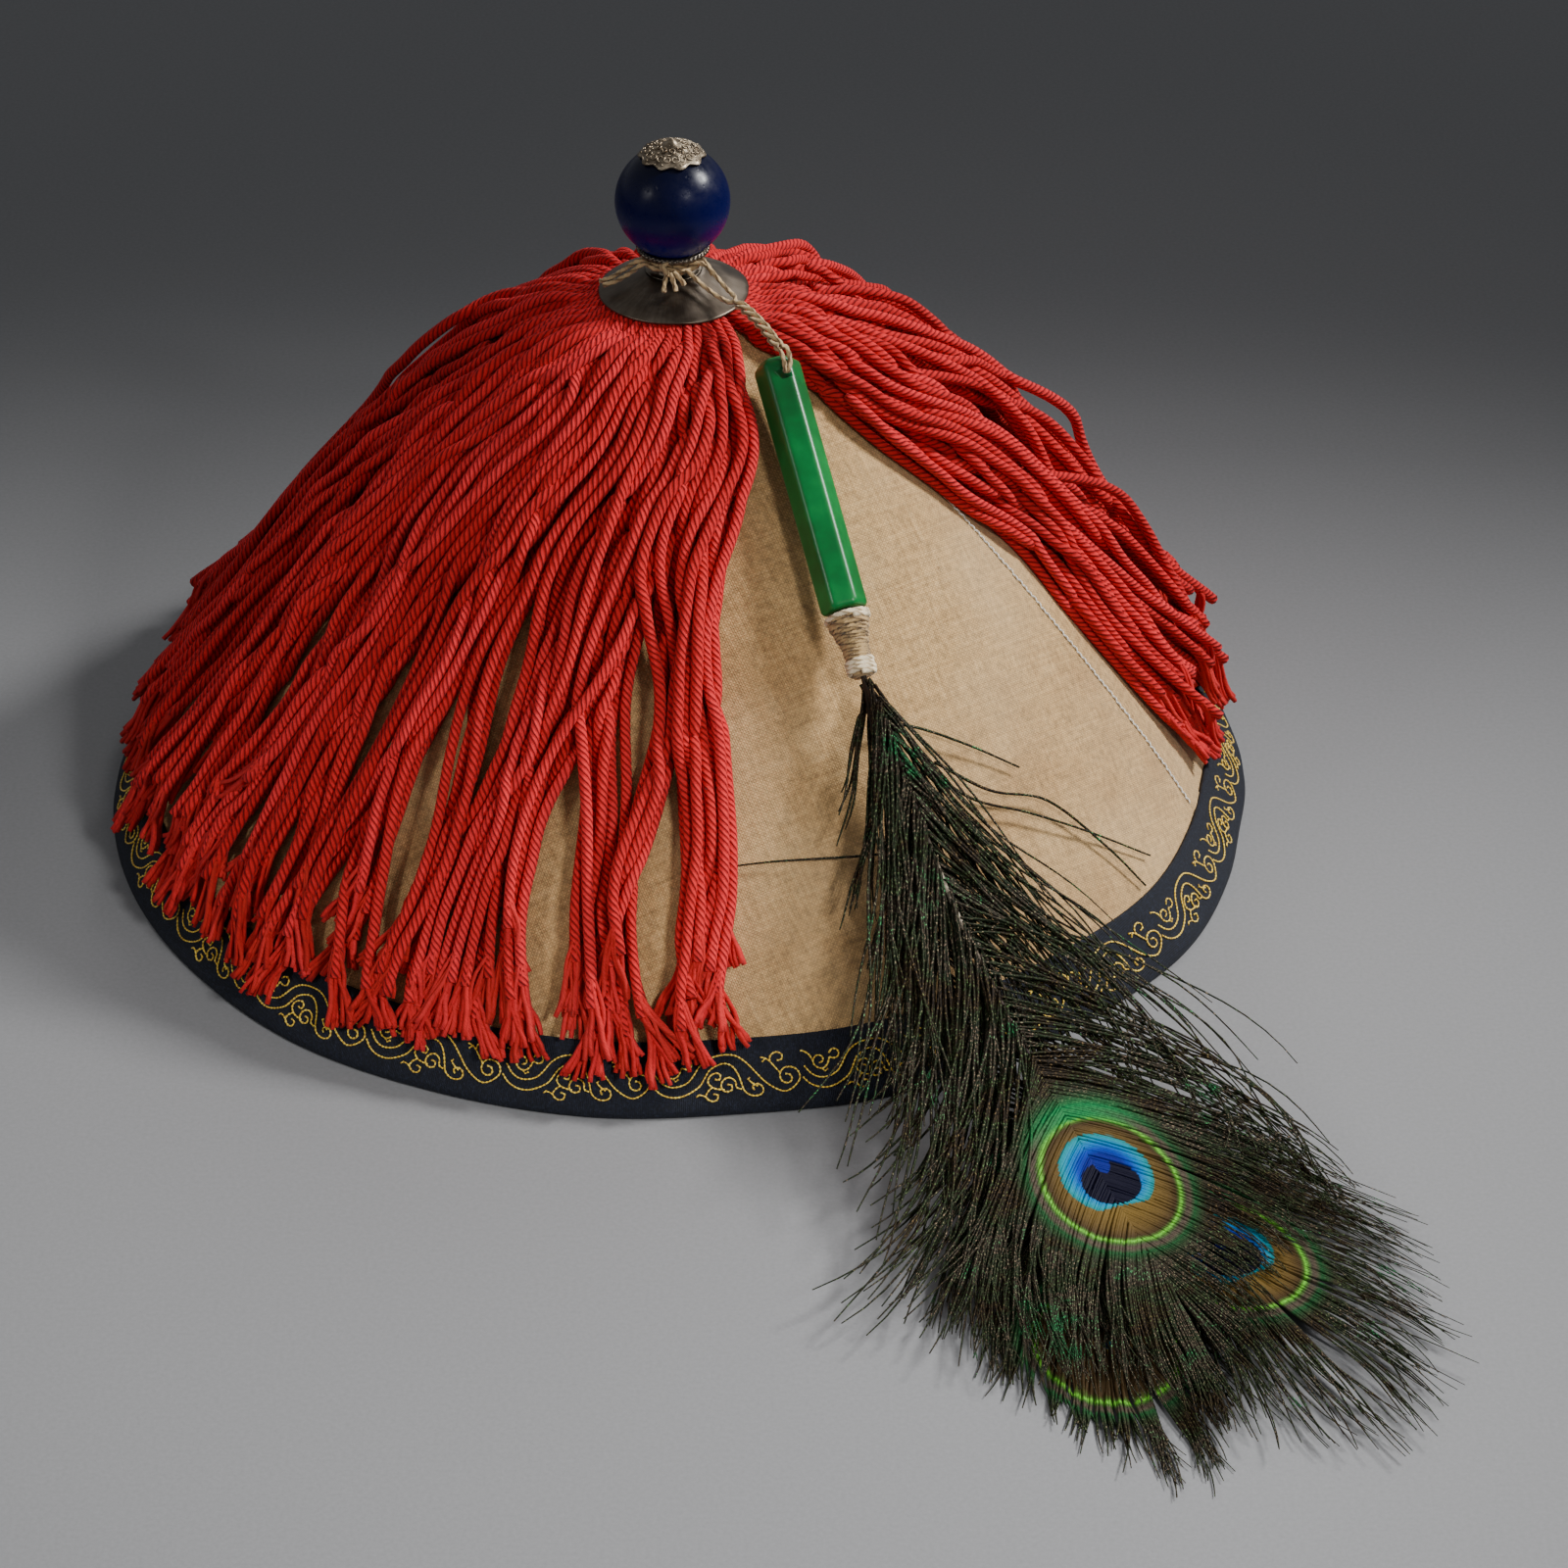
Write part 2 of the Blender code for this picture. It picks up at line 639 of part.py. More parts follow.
def build_tie(finish):
    half = STRING_DIAMETER / 2
    inside = COLLAR_WAIST_RADIUS + GAP
    profile = [(inside, TIE_BOTTOM + STRING_TURNS * TIE_PITCH), (inside, TIE_BOTTOM)]
    for turn in range(STRING_TURNS):
        foot = TIE_BOTTOM + turn * TIE_PITCH
        profile += [(TIE_RADIUS + half * 0.4, foot), (TIE_RADIUS + half, foot + TIE_PITCH / 2)]
    profile.append((TIE_RADIUS + half * 0.4, TIE_BOTTOM + STRING_TURNS * TIE_PITCH))
    bm = bmesh.new()
    revolve(bm, profile, 18)
    tie = add_object("string_tie", bm, finish)
    extras = []
    for number, (root, end, length, drop) in enumerate(TIE_ENDS):
        turns = (root, (root + end) / 2, end)
        reaches = (TIE_RADIUS, TIE_RADIUS + 0.55 * length, TIE_RADIUS + length)
        drops = (0, 0.3 * drop, drop)
        points = [Vector((reach * math.cos(math.radians(turn)), reach * math.sin(math.radians(turn)),
                          TIE_MIDDLE - fall))
                  for turn, reach, fall in zip(turns, reaches, drops)]
        bm = bmesh.new()
        sweep(bm, smooth_route(points, 2), lambda part: half * (1 - 0.15 * part), 6)
        extras.append(add_object(f"tie_end_{number}", bm, finish))
    bm = bmesh.new()
    knot = math.radians(KNOT_AZIMUTH)
    spot = Vector((math.cos(knot), math.sin(knot), 0)) * (TIE_RADIUS + STRING_DIAMETER)
    spot.z = TIE_MIDDLE
    bmesh.ops.create_icosphere(bm, subdivisions=1, radius=1.45 * STRING_DIAMETER)
    bmesh.ops.translate(bm, vec=spot, verts=bm.verts)
    extras.append(add_object("tie_knot", bm, finish))
    union(tie, extras)
    return tie


# Plume tube, with its axis frame

TUBE_HEAD = crown_point(TUBE_TOP[0], TUBE_TOP[1] * RIM_RADIUS, TUBE_TOP[2])
TUBE_AXIS = (crown_point(TUBE_FOOT[0], TUBE_FOOT[1] * RIM_RADIUS, TUBE_FOOT[2])
             - TUBE_HEAD).normalized()
TUBE_SIDE = TUBE_AXIS.cross(Vector((0, 0, 1))).normalized() * -1
TUBE_FACE = TUBE_AXIS.cross(TUBE_SIDE)


def tube_frame(spot):
    """From (across, out of the crown, along the tube from its head) to the hat's frame."""
    return TUBE_HEAD + TUBE_SIDE * spot.x + TUBE_FACE * spot.y + TUBE_AXIS * spot.z


def build_braid(finish):
    hole = Vector((0, TUBE_WIDTH / 2, TUBE_HOLE_DROP))
    turn = math.radians(BRAID_ROUTE[0][0])
    start = TIE_RADIUS + STRING_DIAMETER / 2 + GAP
    points = [Vector((start * math.cos(turn), start * math.sin(turn), TIE_MIDDLE))]
    points += [crown_point(a, share * RIM_RADIUS, lift) for a, share, lift in BRAID_ROUTE]
    points += [tube_frame(Vector((-0.4 * MM, TUBE_WIDTH / 2 + 1.9 * MM, -0.6 * MM))),
               tube_frame(hole + Vector((0, 2.4 * MM, -1.8 * MM))),
               tube_frame(hole + Vector((0, 0.4 * MM, -0.1 * MM))),
               tube_frame(hole + Vector((0, -2.2 * MM, 0)))]
    radius = BRAID_DIAMETER / 2
    bm = bmesh.new()
    sweep(bm, smooth_route(points, 3), lambda part: radius * (1 - 0.1 * part), 8,
          twist=math.pi / (2.6 * BRAID_DIAMETER), lobes=2, depth=0.4)
    return add_object("string_braid", bm, finish)


def build_tube(finish):
    half = TUBE_WIDTH / 2
    chamfered = half - TUBE_CHAMFER
    sides = 6
    bore_end = TUBE_LENGTH - TUBE_BORE_DEPTH
    profile = [(0, 0), (chamfered, 0), (half, TUBE_CHAMFER),
               (half, TUBE_LENGTH - 0.5 * TUBE_CHAMFER), (half - 0.5 * TUBE_CHAMFER, TUBE_LENGTH),
               (TUBE_BORE_RADIUS, TUBE_LENGTH), (TUBE_BORE_RADIUS, bore_end), (0, bore_end)]

    def hexagon(row, angle, radius, height):
        if row > 4:
            return radius, height
        away = angle % (2 * math.pi / sides) - math.pi / sides
        return radius / math.cos(away), height

    bm = bmesh.new()
    revolve(bm, profile, 2 * sides, hexagon, tube_frame)
    tube = add_object("plume_tube", bm, finish, smooth=False)
    bm = bmesh.new()
    reach = TUBE_WIDTH
    hole = [tube_frame(Vector((0, y, TUBE_HOLE_DROP))) for y in (-reach, reach)]
    sweep(bm, hole, lambda part: TUBE_HOLE_RADIUS, 10)
    drill = add_object("tube_cross_hole", bm, finish)
    drill.hide_render = True
    drill.display_type = "WIRE"
    cut = tube.modifiers.new("cross hole", "BOOLEAN")
    cut.operation = "DIFFERENCE"
    cut.solver = "EXACT"
    cut.object = drill
    return tube


QUILL_PITCH = 2 * QUILL_RADIUS + GAP
BINDING_BORE = QUILL_PITCH * 0.58 + QUILL_RADIUS + GAP
BINDING_START = TUBE_LENGTH + GAP
BINDING_END = BINDING_START + BINDING_LENGTH


def build_binding(finish):
    profile = [(BINDING_BORE, BINDING_END), (BINDING_BORE, BINDING_START)]
    groove = 0.12 * BINDING_END_RADIUS
    for turn in range(BINDING_TURNS):
        for part, sunk in ((0.0, groove), (0.5, 0.0)):
            share = (turn + part) / BINDING_TURNS
            radius = BINDING_TOP_RADIUS + (BINDING_END_RADIUS - BINDING_TOP_RADIUS) * share
            profile.append((radius - sunk, BINDING_START + share * BINDING_LENGTH))
    profile.append((BINDING_END_RADIUS - groove, BINDING_END))
    bm = bmesh.new()
    revolve(bm, profile, 12, frame=tube_frame)
    return add_object("plume_binding", bm, finish)


# Feathers, draped from the crown to the ground

def drape(radius):
    """Height and slope of the surface that the plume follows."""
    leave = PLUME_LEAVES * RIM_RADIUS
    land = PLUME_LANDS * RIM_RADIUS
    if radius <= leave:
        return crown_rise(radius), crown_slope(radius)
    span = land - leave
    t = min((radius - leave) / span, 1)
    start = crown_rise(leave)
    height = start * (2 * t ** 3 - 3 * t ** 2 + 1) + PLUME_SLOPE * span * (t ** 3 - 2 * t ** 2 + t)
    slope = start / span * (6 * t * t - 6 * t) + PLUME_SLOPE * (3 * t * t - 4 * t + 1)
    return height, slope


def foot_under(spot):
    """Radius of the crown's point under a raised one, and how far it is raised."""
    reach = math.hypot(spot.x, spot.y)
    radius = reach
    lift = 0.0
    for _ in range(40):
        slope = crown_slope(radius)
        length = math.hypot(slope, 1)
        radius = reach + slope / length * lift
        lift = (lift + (spot.z - crown_rise(radius)) * length) / 2
    return radius, lift


BINDING_TIP = tube_frame(Vector((0, 0, BINDING_END)))
PLUME_RADIUS, PLUME_LIFT = foot_under(BINDING_TIP)
PLUME_AZIMUTH = math.degrees(math.atan2(BINDING_TIP.y, BINDING_TIP.x))
LOWEST_LAYER = VANE_THICKNESS / 2 + GAP / 2


def plume_point(x, y, offset):
    radius = math.hypot(x, y)
    height, slope = drape(radius)
    return raised(math.degrees(math.atan2(y, x)), radius, height, slope, offset)


def layer_offset(radius, layer):
    middle = LOWEST_LAYER + LAYER_PITCH
    span = PLUME_SETTLES * RIM_RADIUS - PLUME_RADIUS
    drop = ease((radius - PLUME_RADIUS) / span)
    return LOWEST_LAYER + LAYER_PITCH * layer + (PLUME_LIFT - middle) * (1 - drop)


def build_feather(row, finish):
    name, layer, heading_start, heading_end, length, place, vane = row
    turn = math.radians(PLUME_AZIMUTH)
    start = Vector((math.cos(turn), math.sin(turn))) * PLUME_RADIUS

    def heading(share):
        return heading_start + (heading_end - heading_start) * share

    def quill_plan(share):
        spot = start.copy()
        steps = 12
        for k in range(steps):
            angle = math.radians(heading(share * (k + 0.5) / steps))
            spot += Vector((math.cos(angle), math.sin(angle))) * (length * share / steps)
        return spot

    def quill_radius(share):
        return QUILL_RADIUS * (1 - 0.5 * share)

    first = VANE_START / length

    def side_grid(side):
        columns = (1, 2) if side < 0 else (3, 4)

        def grid(t, v, top):
            share = first + (1 - first) * t / BARB_LOCKS
            angle = along(vane, share, columns[0])
            reach = along(vane, share, columns[1]) * BARB_LENGTH * v
            spot = quill_plan(share)
            across = math.radians(heading(share) + side * 90)
            spot += Vector((math.cos(across), math.sin(across))) * quill_radius(share) * 0.8
            steps = 4
            for k in range(steps):
                far = v * (k + 0.5) / steps
                lean = math.radians(heading(share) + side * angle * (1 + BARB_BEND * (0.5 - far)))
                spot += Vector((math.cos(lean), math.sin(lean))) * (reach / steps)
            half = VANE_THICKNESS / 2 * (1 - 0.5 * v)
            offset = layer_offset(spot.length, layer) + (half if top else -half)
            return plume_point(spot.x, spot.y, offset)
        return grid

    def inset_of(station, split):
        return 0.10 + 0.14 * (station - 1)

    bm = bmesh.new()
    sides = {}
    for side in (-1, 1):
        sides[side] = lock_sheet(bm, BARB_LOCKS, BARB_STATIONS, lambda border: BARB_SPLIT,
                                 inset_of, side_grid(side), ridge=False)

    def hexagon_ring(centre, across, out, radius):
        turns = (150, 90, 30, -30, -90, -150)
        return [bm.verts.new(centre + across * radius * math.cos(math.radians(a))
                             + out * radius * math.sin(math.radians(a))) for a in turns]

    def surface_ring(share, radius):
        plan = quill_plan(share)
        offset = layer_offset(plan.length, layer)
        centre = plume_point(plan.x, plan.y, offset)
        out = (plume_point(plan.x, plan.y, offset + MM) - centre).normalized()
        angle = math.radians(heading(share))
        ahead = plume_point(plan.x + MM * math.cos(angle), plan.y + MM * math.sin(angle), offset)
        return centre, (ahead - centre).normalized().cross(out), out, radius

    shift = Vector((place[0], place[1], 0)) * QUILL_PITCH
    rings = []
    for depth in (BINDING_START - QUILL_DEPTH, BINDING_START + 0.5 * BINDING_LENGTH, BINDING_END):
        centre = tube_frame(shift + Vector((0, 0, depth)))
        rings.append(hexagon_ring(centre, -TUBE_SIDE, TUBE_FACE, QUILL_RADIUS))
    rings.append(hexagon_ring(*surface_ring(0.5 * first, QUILL_RADIUS)))
    for border in range(BARB_LOCKS + 1):
        share = first + (1 - first) * border / BARB_LOCKS
        centre, _, out, radius = surface_ring(share, quill_radius(share))
        top = bm.verts.new(centre + out * radius)
        bottom = bm.verts.new(centre - out * radius)
        (left_top, left_low), (right_top, right_low) = sides[-1], sides[1]
        rings.append([left_top[border], top, right_top[border],
                      right_low[border], bottom, left_low[border]])
    vane_from = len(rings) - BARB_LOCKS - 1
    for number, (ring_a, ring_b) in enumerate(zip(rings, rings[1:])):
        for i in range(6):
            j = (i + 1) % 6
            on_sheet = number >= vane_from and i in (2, 5)
            if not on_sheet:
                bm.faces.new((ring_a[i], ring_a[j], ring_b[j], ring_b[i]))
    bm.faces.new(rings[0])
    bm.faces.new(rings[-1])
    return add_object(name, bm, finish, smooth=False)


def main():
    for old in list(bpy.data.objects):
        bpy.data.objects.remove(old, do_unlink=True)
    linen = material("linen", (0.52, 0.40, 0.25), 0.9)
    navy = material("navy_ribbon", (0.02, 0.03, 0.07), 0.8)
    red = material("red_cord", (0.66, 0.03, 0.03), 0.85)
    dark_metal = material("patinated_metal", (0.10, 0.08, 0.07), 0.45, 0.9)
    silver = material("tarnished_silver", (0.45, 0.38, 0.30), 0.4, 1.0)
    blue_glass = material("blue_glass", (0.01, 0.02, 0.20), 0.12)
    green_glass = material("green_glass", (0.0, 0.25, 0.05), 0.1)
    hemp = material("hemp_string", (0.60, 0.48, 0.32), 0.9)
    plume = material("peacock_barbs", (0.05, 0.06, 0.03), 0.6)
    build_crown(linen)
    build_band(navy)
    build_fringe(red)
    build_post(dark_metal)
    build_disc(dark_metal)
    build_collar(silver)
    build_ball(blue_glass)
    build_cap(silver)
    build_tie(hemp)
    build_braid(hemp)
    build_tube(green_glass)
    build_binding(hemp)
    for row in FEATHERS:
        build_feather(row, plume)


main()
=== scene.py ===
"""Looks of the summer official's hat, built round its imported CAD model.

Metres, rim plane at z = 0, hat's axis on Z, front towards -Y. Azimuths are in degrees, counted
from +X towards +Y. The shapes of the crown, the fringe and the plume repeat the model's own.
"""
import math

import bmesh
import bpy
import numpy as np
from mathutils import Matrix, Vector


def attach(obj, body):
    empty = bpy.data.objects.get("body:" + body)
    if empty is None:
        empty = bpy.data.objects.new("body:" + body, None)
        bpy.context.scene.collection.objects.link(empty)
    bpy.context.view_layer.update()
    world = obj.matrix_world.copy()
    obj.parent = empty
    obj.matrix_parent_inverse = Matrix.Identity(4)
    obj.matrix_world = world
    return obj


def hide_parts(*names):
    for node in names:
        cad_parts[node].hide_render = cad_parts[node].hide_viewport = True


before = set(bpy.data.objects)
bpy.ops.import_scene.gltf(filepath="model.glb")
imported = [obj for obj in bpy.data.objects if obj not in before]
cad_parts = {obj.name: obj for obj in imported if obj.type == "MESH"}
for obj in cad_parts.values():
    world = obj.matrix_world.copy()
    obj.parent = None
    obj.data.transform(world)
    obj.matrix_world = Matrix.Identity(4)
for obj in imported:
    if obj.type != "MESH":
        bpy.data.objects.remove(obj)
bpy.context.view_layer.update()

MM = 0.001

# Sizes of the model
RIM_RADIUS = 150 * MM
CROWN_HEIGHT = 146 * MM
CROWN_CURVE = 1.45
CROWN_WALL = 2 * MM
BAND_WIDTH = 17 * MM
BAND_WALL = 1 * MM
GAP = 0.3 * MM
DISC_RADIUS = 18.8 * MM
DISC_LIFT = 7 * MM
DISC_RISE = 5.2 * MM
DISC_THICKNESS = 0.9 * MM
DISC_HUB_RADIUS = 7.5 * MM
COLLAR_WAIST_RADIUS = 5.6 * MM
COLLAR_FLARE_RADIUS = 8.6 * MM
COLLAR_HEIGHT = 6.6 * MM
COLLAR_BEADS = 42
POST_HOLE = 2.3 * MM
BALL_RADIUS = 14.3 * MM
CAP_RADIUS = 8.4 * MM
CAP_WALL = 0.9 * MM
CAP_TIP_HEIGHT = 1.5 * MM
CAP_PETALS = 10
PETAL_DEPTH = 0.10
TUBE_LENGTH = 66 * MM
TUBE_WIDTH = 10.6 * MM
TUBE_CHAMFER = 1.8 * MM
TUBE_TURN = 14
TUBE_BORE_RADIUS = 3.4 * MM
TUBE_BORE_DEPTH = 54 * MM
TUBE_HOLE_DROP = 5 * MM
TUBE_HOLE_RADIUS = 1.5 * MM
TUBE_TOP = (-47.6, 0.208, 11.2 * MM)
TUBE_FOOT = (-60.1, 0.516, 10.3 * MM)
BINDING_LENGTH = 17 * MM
BINDING_TOP_RADIUS = 5.6 * MM
BINDING_END_RADIUS = 3.5 * MM
QUILL_RADIUS = 0.85 * MM
VANE_START = 7 * MM
VANE_THICKNESS = 1 * MM
LAYER_PITCH = 2.6 * MM
BARB_LENGTH = 85 * MM
PLUME_LEAVES = 0.63
PLUME_LANDS = 1.73
PLUME_SLOPE = -0.95
PLUME_SETTLES = 0.95

# Weave: threads in 10 mm of linen, ribs and picks of the ribbon, stitches of the gold thread
THREADS = 20
RIBBON_RIBS = 22
RIBBON_PICKS = 26
THREAD_STITCHES = 11

# String: twist in radians a metre, and one turn of the braid
STRING_TWIST = 1500
BRAID_PITCH = 9 * MM

# Seam of the linen: azimuth, pitch of its stitches
SEAM_AZIMUTH = -15.8
STITCH_PITCH = 1.9 * MM

# Dents and bulges of the rim: azimuth, half width in degrees, depth as a share of RIM_RADIUS
RIM_DENTS = (
    (-32, 16, 0.013),
    (-10, 9, -0.007),
    (-84, 14, -0.010),
    (-128, 16, 0.006),
    (172, 14, -0.006),
    (110, 18, 0.006),
    (52, 14, -0.007),
)

# Edges of the bare front of the crown: share of RIM_RADIUS, right edge, left edge (azimuths)
FRINGE_EDGES = (
    (0.05, -36, -46),
    (0.13, -34, -48),
    (0.17, -30, -56),
    (0.21, -27, -61),
    (0.31, -25, -66),
    (0.36, -23, -73),
    (0.45, -17, -77.5),
    (0.60, -11.5, -81),
    (0.85, -10, -83.5),
    (1.00, -8, -82),
)

# Depth of the mantle of cords along its run: share of RIM_RADIUS, depth
MANTLE_DEPTH = (
    (0.06, 2.2 * MM),
    (0.12, 4.4 * MM),
    (0.17, 8.0 * MM),
    (0.28, 11.6 * MM),
    (0.42, 12.4 * MM),
    (0.60, 11.4 * MM),
    (0.80, 9.0 * MM),
    (0.92, 7.4 * MM),
    (1.02, 6.2 * MM),
)

# Mantle round the hat: azimuth, share of its depth, tip share of RIM_RADIUS, lift of the tips
MANTLE_ROUND = (
    (-20, 0.70, 0.940, 2.0 * MM),
    (-5, 1.15, 0.955, 3.6 * MM),
    (15, 1.55, 0.975, 7.2 * MM),
    (40, 1.55, 0.970, 5.4 * MM),
    (70, 1.30, 0.980, 3.6 * MM),
    (110, 1.05, 0.985, 3.6 * MM),
    (140, 0.92, 0.975, 6.0 * MM),
    (160, 0.90, 0.970, 7.2 * MM),
    (180, 0.85, 0.980, 3.0 * MM),
    (210, 0.75, 0.990, 1.2 * MM),
    (240, 0.75, 0.990, 0.6 * MM),
    (280, 0.80, 0.985, 0.0),
)

# Share of the cords round the hat: azimuth, weight
CORD_SPREAD = (
    (-20, 1.15),
    (15, 1.25),
    (70, 1.05),
    (110, 0.95),
    (180, 0.95),
    (240, 1.05),
    (280, 1.05),
)

# Girth along a cord: place, share of its diameter
CORD_GIRTH = ((0.0, 0.6), (0.07, 0.92), (0.16, 1.04), (1, 1.0))

# Cords that stand up in loops: azimuth at the rim, share of RIM_RADIUS, half width, mm
CORD_ARCHES = (
    (38, 0.24, 0.10, 9), (30, 0.30, 0.13, 6), (22, 0.66, 0.16, 8), (14, 0.58, 0.13, 6),
    (8, 0.74, 0.14, 7), (60, 0.30, 0.12, 5), (172, 0.50, 0.16, 4), (150, 0.34, 0.12, 4),
)
CORDS = 310
CORD_DIAMETER = 2.8 * MM
CORD_HEAD = 9 * MM
CORD_STATIONS = 62
CORD_SIDES = 8
PLY_STEP = 1.75 * MM
TUFT_LENGTH = 17 * MM
YARNS = 11
LOCK_OF_CORDS = 5.5
MANTLE_START = -12
MANTLE_SPAN = 290

# Feathers: name, layer, heading at the binding and at the end, quill length, vane rows. A row
# gives the share of the quill, then angle and share of BARB_LENGTH on the left and the right
FEATHERS = (
    ("lower", 0, -65, -72, 176 * MM, (
        (0.00, 24, 0.30, 24, 0.30),
        (0.25, 34, 0.55, 30, 0.50),
        (0.50, 42, 0.66, 34, 0.55),
        (0.75, 36, 0.58, 30, 0.52),
        (1.00, 4, 0.50, 4, 0.52),
    )),
    ("middle", 1, -57, -55, 165 * MM, (
        (0.00, 20, 0.40, 12, 0.55),
        (0.25, 30, 0.60, 24, 0.85),
        (0.50, 34, 0.60, 34, 0.90),
        (0.75, 42, 0.80, 34, 0.80),
        (0.90, 22, 0.78, 18, 0.74),
        (1.00, 3, 0.74, 2, 0.70),
    )),
    ("upper", 2, -57.5, -68, 160 * MM, (
        (0.00, 22, 0.86, 20, 0.66),
        (0.20, 34, 1.12, 36, 0.92),
        (0.40, 42, 1.16, 50, 1.00),
        (0.60, 38, 0.94, 44, 0.84),
        (0.80, 30, 0.72, 34, 0.50),
        (1.00, 3, 0.56, 3, 0.54),
    )),
)
EYE_AT = {"upper": (103.2 * MM, -187 * MM), "middle": (130.8 * MM, -207 * MM),
          "lower": (100.7 * MM, -236 * MM)}
EYE_WIDTH = 16 * MM
EYE_LENGTH = 19.5 * MM
BARB_STATIONS = 16
LOOSE_BARBS = 1.1 * MM
DENSE_BARBS = 0.46 * MM
DENSE_FROM = 0.54
LOCK_OF_BARBS = 5.5 * MM


# Helpers for numbers

def ease(part):
    part = np.clip(part, 0, 1)
    return part * part * (3 - 2 * part)


def along(table, place, column):
    rows = np.array(table, float)
    return np.interp(place, rows[:, 0], rows[:, column])


def unit(vectors):
    length = np.linalg.norm(vectors, axis=-1, keepdims=True)
    return vectors / np.maximum(length, 1e-12)


def distances(path):
    """Distance along a path at each of its points."""
    return np.concatenate([[0], np.cumsum(np.linalg.norm(np.diff(path, axis=0), axis=1))])


def around(radius, turn, height):
    """Points from a radius, an angle in radians and a height."""
    return np.stack(np.broadcast_arrays(radius * np.cos(turn), radius * np.sin(turn), height), -1)


def waves(generator):
    """Smooth wander of every cord: sums of a few sines with random phases, one row a cord."""
    place = np.linspace(0, 1, CORD_STATIONS)[None, :]
    total = np.zeros((CORDS, CORD_STATIONS))
    for turns, share in ((0.9, 1.0), (2.1, 0.60), (3.9, 0.30)):
        phase = generator.uniform(0, math.tau, (CORDS, 1))
        speed = turns * generator.uniform(0.7, 1.3, (CORDS, 1))
        total += share * np.sin(math.tau * speed * place + phase)
    return total


# Surfaces

RIM_SLOPE = CROWN_HEIGHT * CROWN_CURVE / RIM_RADIUS
RIM_NORMAL_OUT = RIM_SLOPE / math.hypot(RIM_SLOPE, 1)
CROWN_FOOT = BAND_WALL + GAP
CROWN_EDGE = RIM_RADIUS - (BAND_WALL + GAP) * RIM_NORMAL_OUT
BAND_TOP = CROWN_EDGE - BAND_WIDTH / math.hypot(RIM_SLOPE, 1)


def rim_dent(azimuth):
    total = np.zeros_like(np.asarray(azimuth, float))
    for centre, half, depth in RIM_DENTS:
        away = np.abs((azimuth - centre + 180) % 360 - 180) / half
        total = total + depth * RIM_RADIUS * (1 - ease(away))
    return total


def crown_rise(radius):
    share = np.maximum(radius, 0) / CROWN_EDGE
    return CROWN_FOOT + CROWN_HEIGHT * (1 - share ** CROWN_CURVE)


def crown_slope(radius):
    share = np.maximum(radius, 0.1 * MM) / CROWN_EDGE
    return -CROWN_HEIGHT * CROWN_CURVE / CROWN_EDGE * share ** (CROWN_CURVE - 1)


def raised(azimuth, radius, height, slope, offset):
    """Points lifted by an offset off a surface of revolution with this height and slope."""
    length = np.hypot(slope, 1)
    return around(radius - slope / length * offset, np.radians(azimuth), height + offset / length)


def crown_point(azimuth, radius, offset):
    azimuth = np.asarray(azimuth, float)
    dented = radius + rim_dent(azimuth) * (radius / CROWN_EDGE) ** 3
    return raised(azimuth, dented, crown_rise(radius), crown_slope(radius), offset)


def foot_point(azimuth, offset, height):
    """Points beside the crown's edge, an offset outwards, at a height."""
    azimuth = np.asarray(azimuth, float)
    reach = CROWN_EDGE + rim_dent(azimuth) + offset / RIM_NORMAL_OUT
    return around(reach, np.radians(azimuth), height)


def drape(radius):
    """Height and slope under the plume: the crown, then a curve down to the floor."""
    leave = PLUME_LEAVES * RIM_RADIUS
    span = PLUME_LANDS * RIM_RADIUS - leave
    t = np.clip((radius - leave) / span, 0, 1)
    start = float(crown_rise(leave))
    height = start * (2 * t ** 3 - 3 * t ** 2 + 1) + PLUME_SLOPE * span * (t ** 3 - 2 * t ** 2 + t)
    slope = start / span * (6 * t * t - 6 * t) + PLUME_SLOPE * (3 * t * t - 4 * t + 1)
    on_crown = radius <= leave
    return (np.where(on_crown, crown_rise(radius), height),
            np.where(on_crown, crown_slope(radius), slope))


# Helpers for meshes

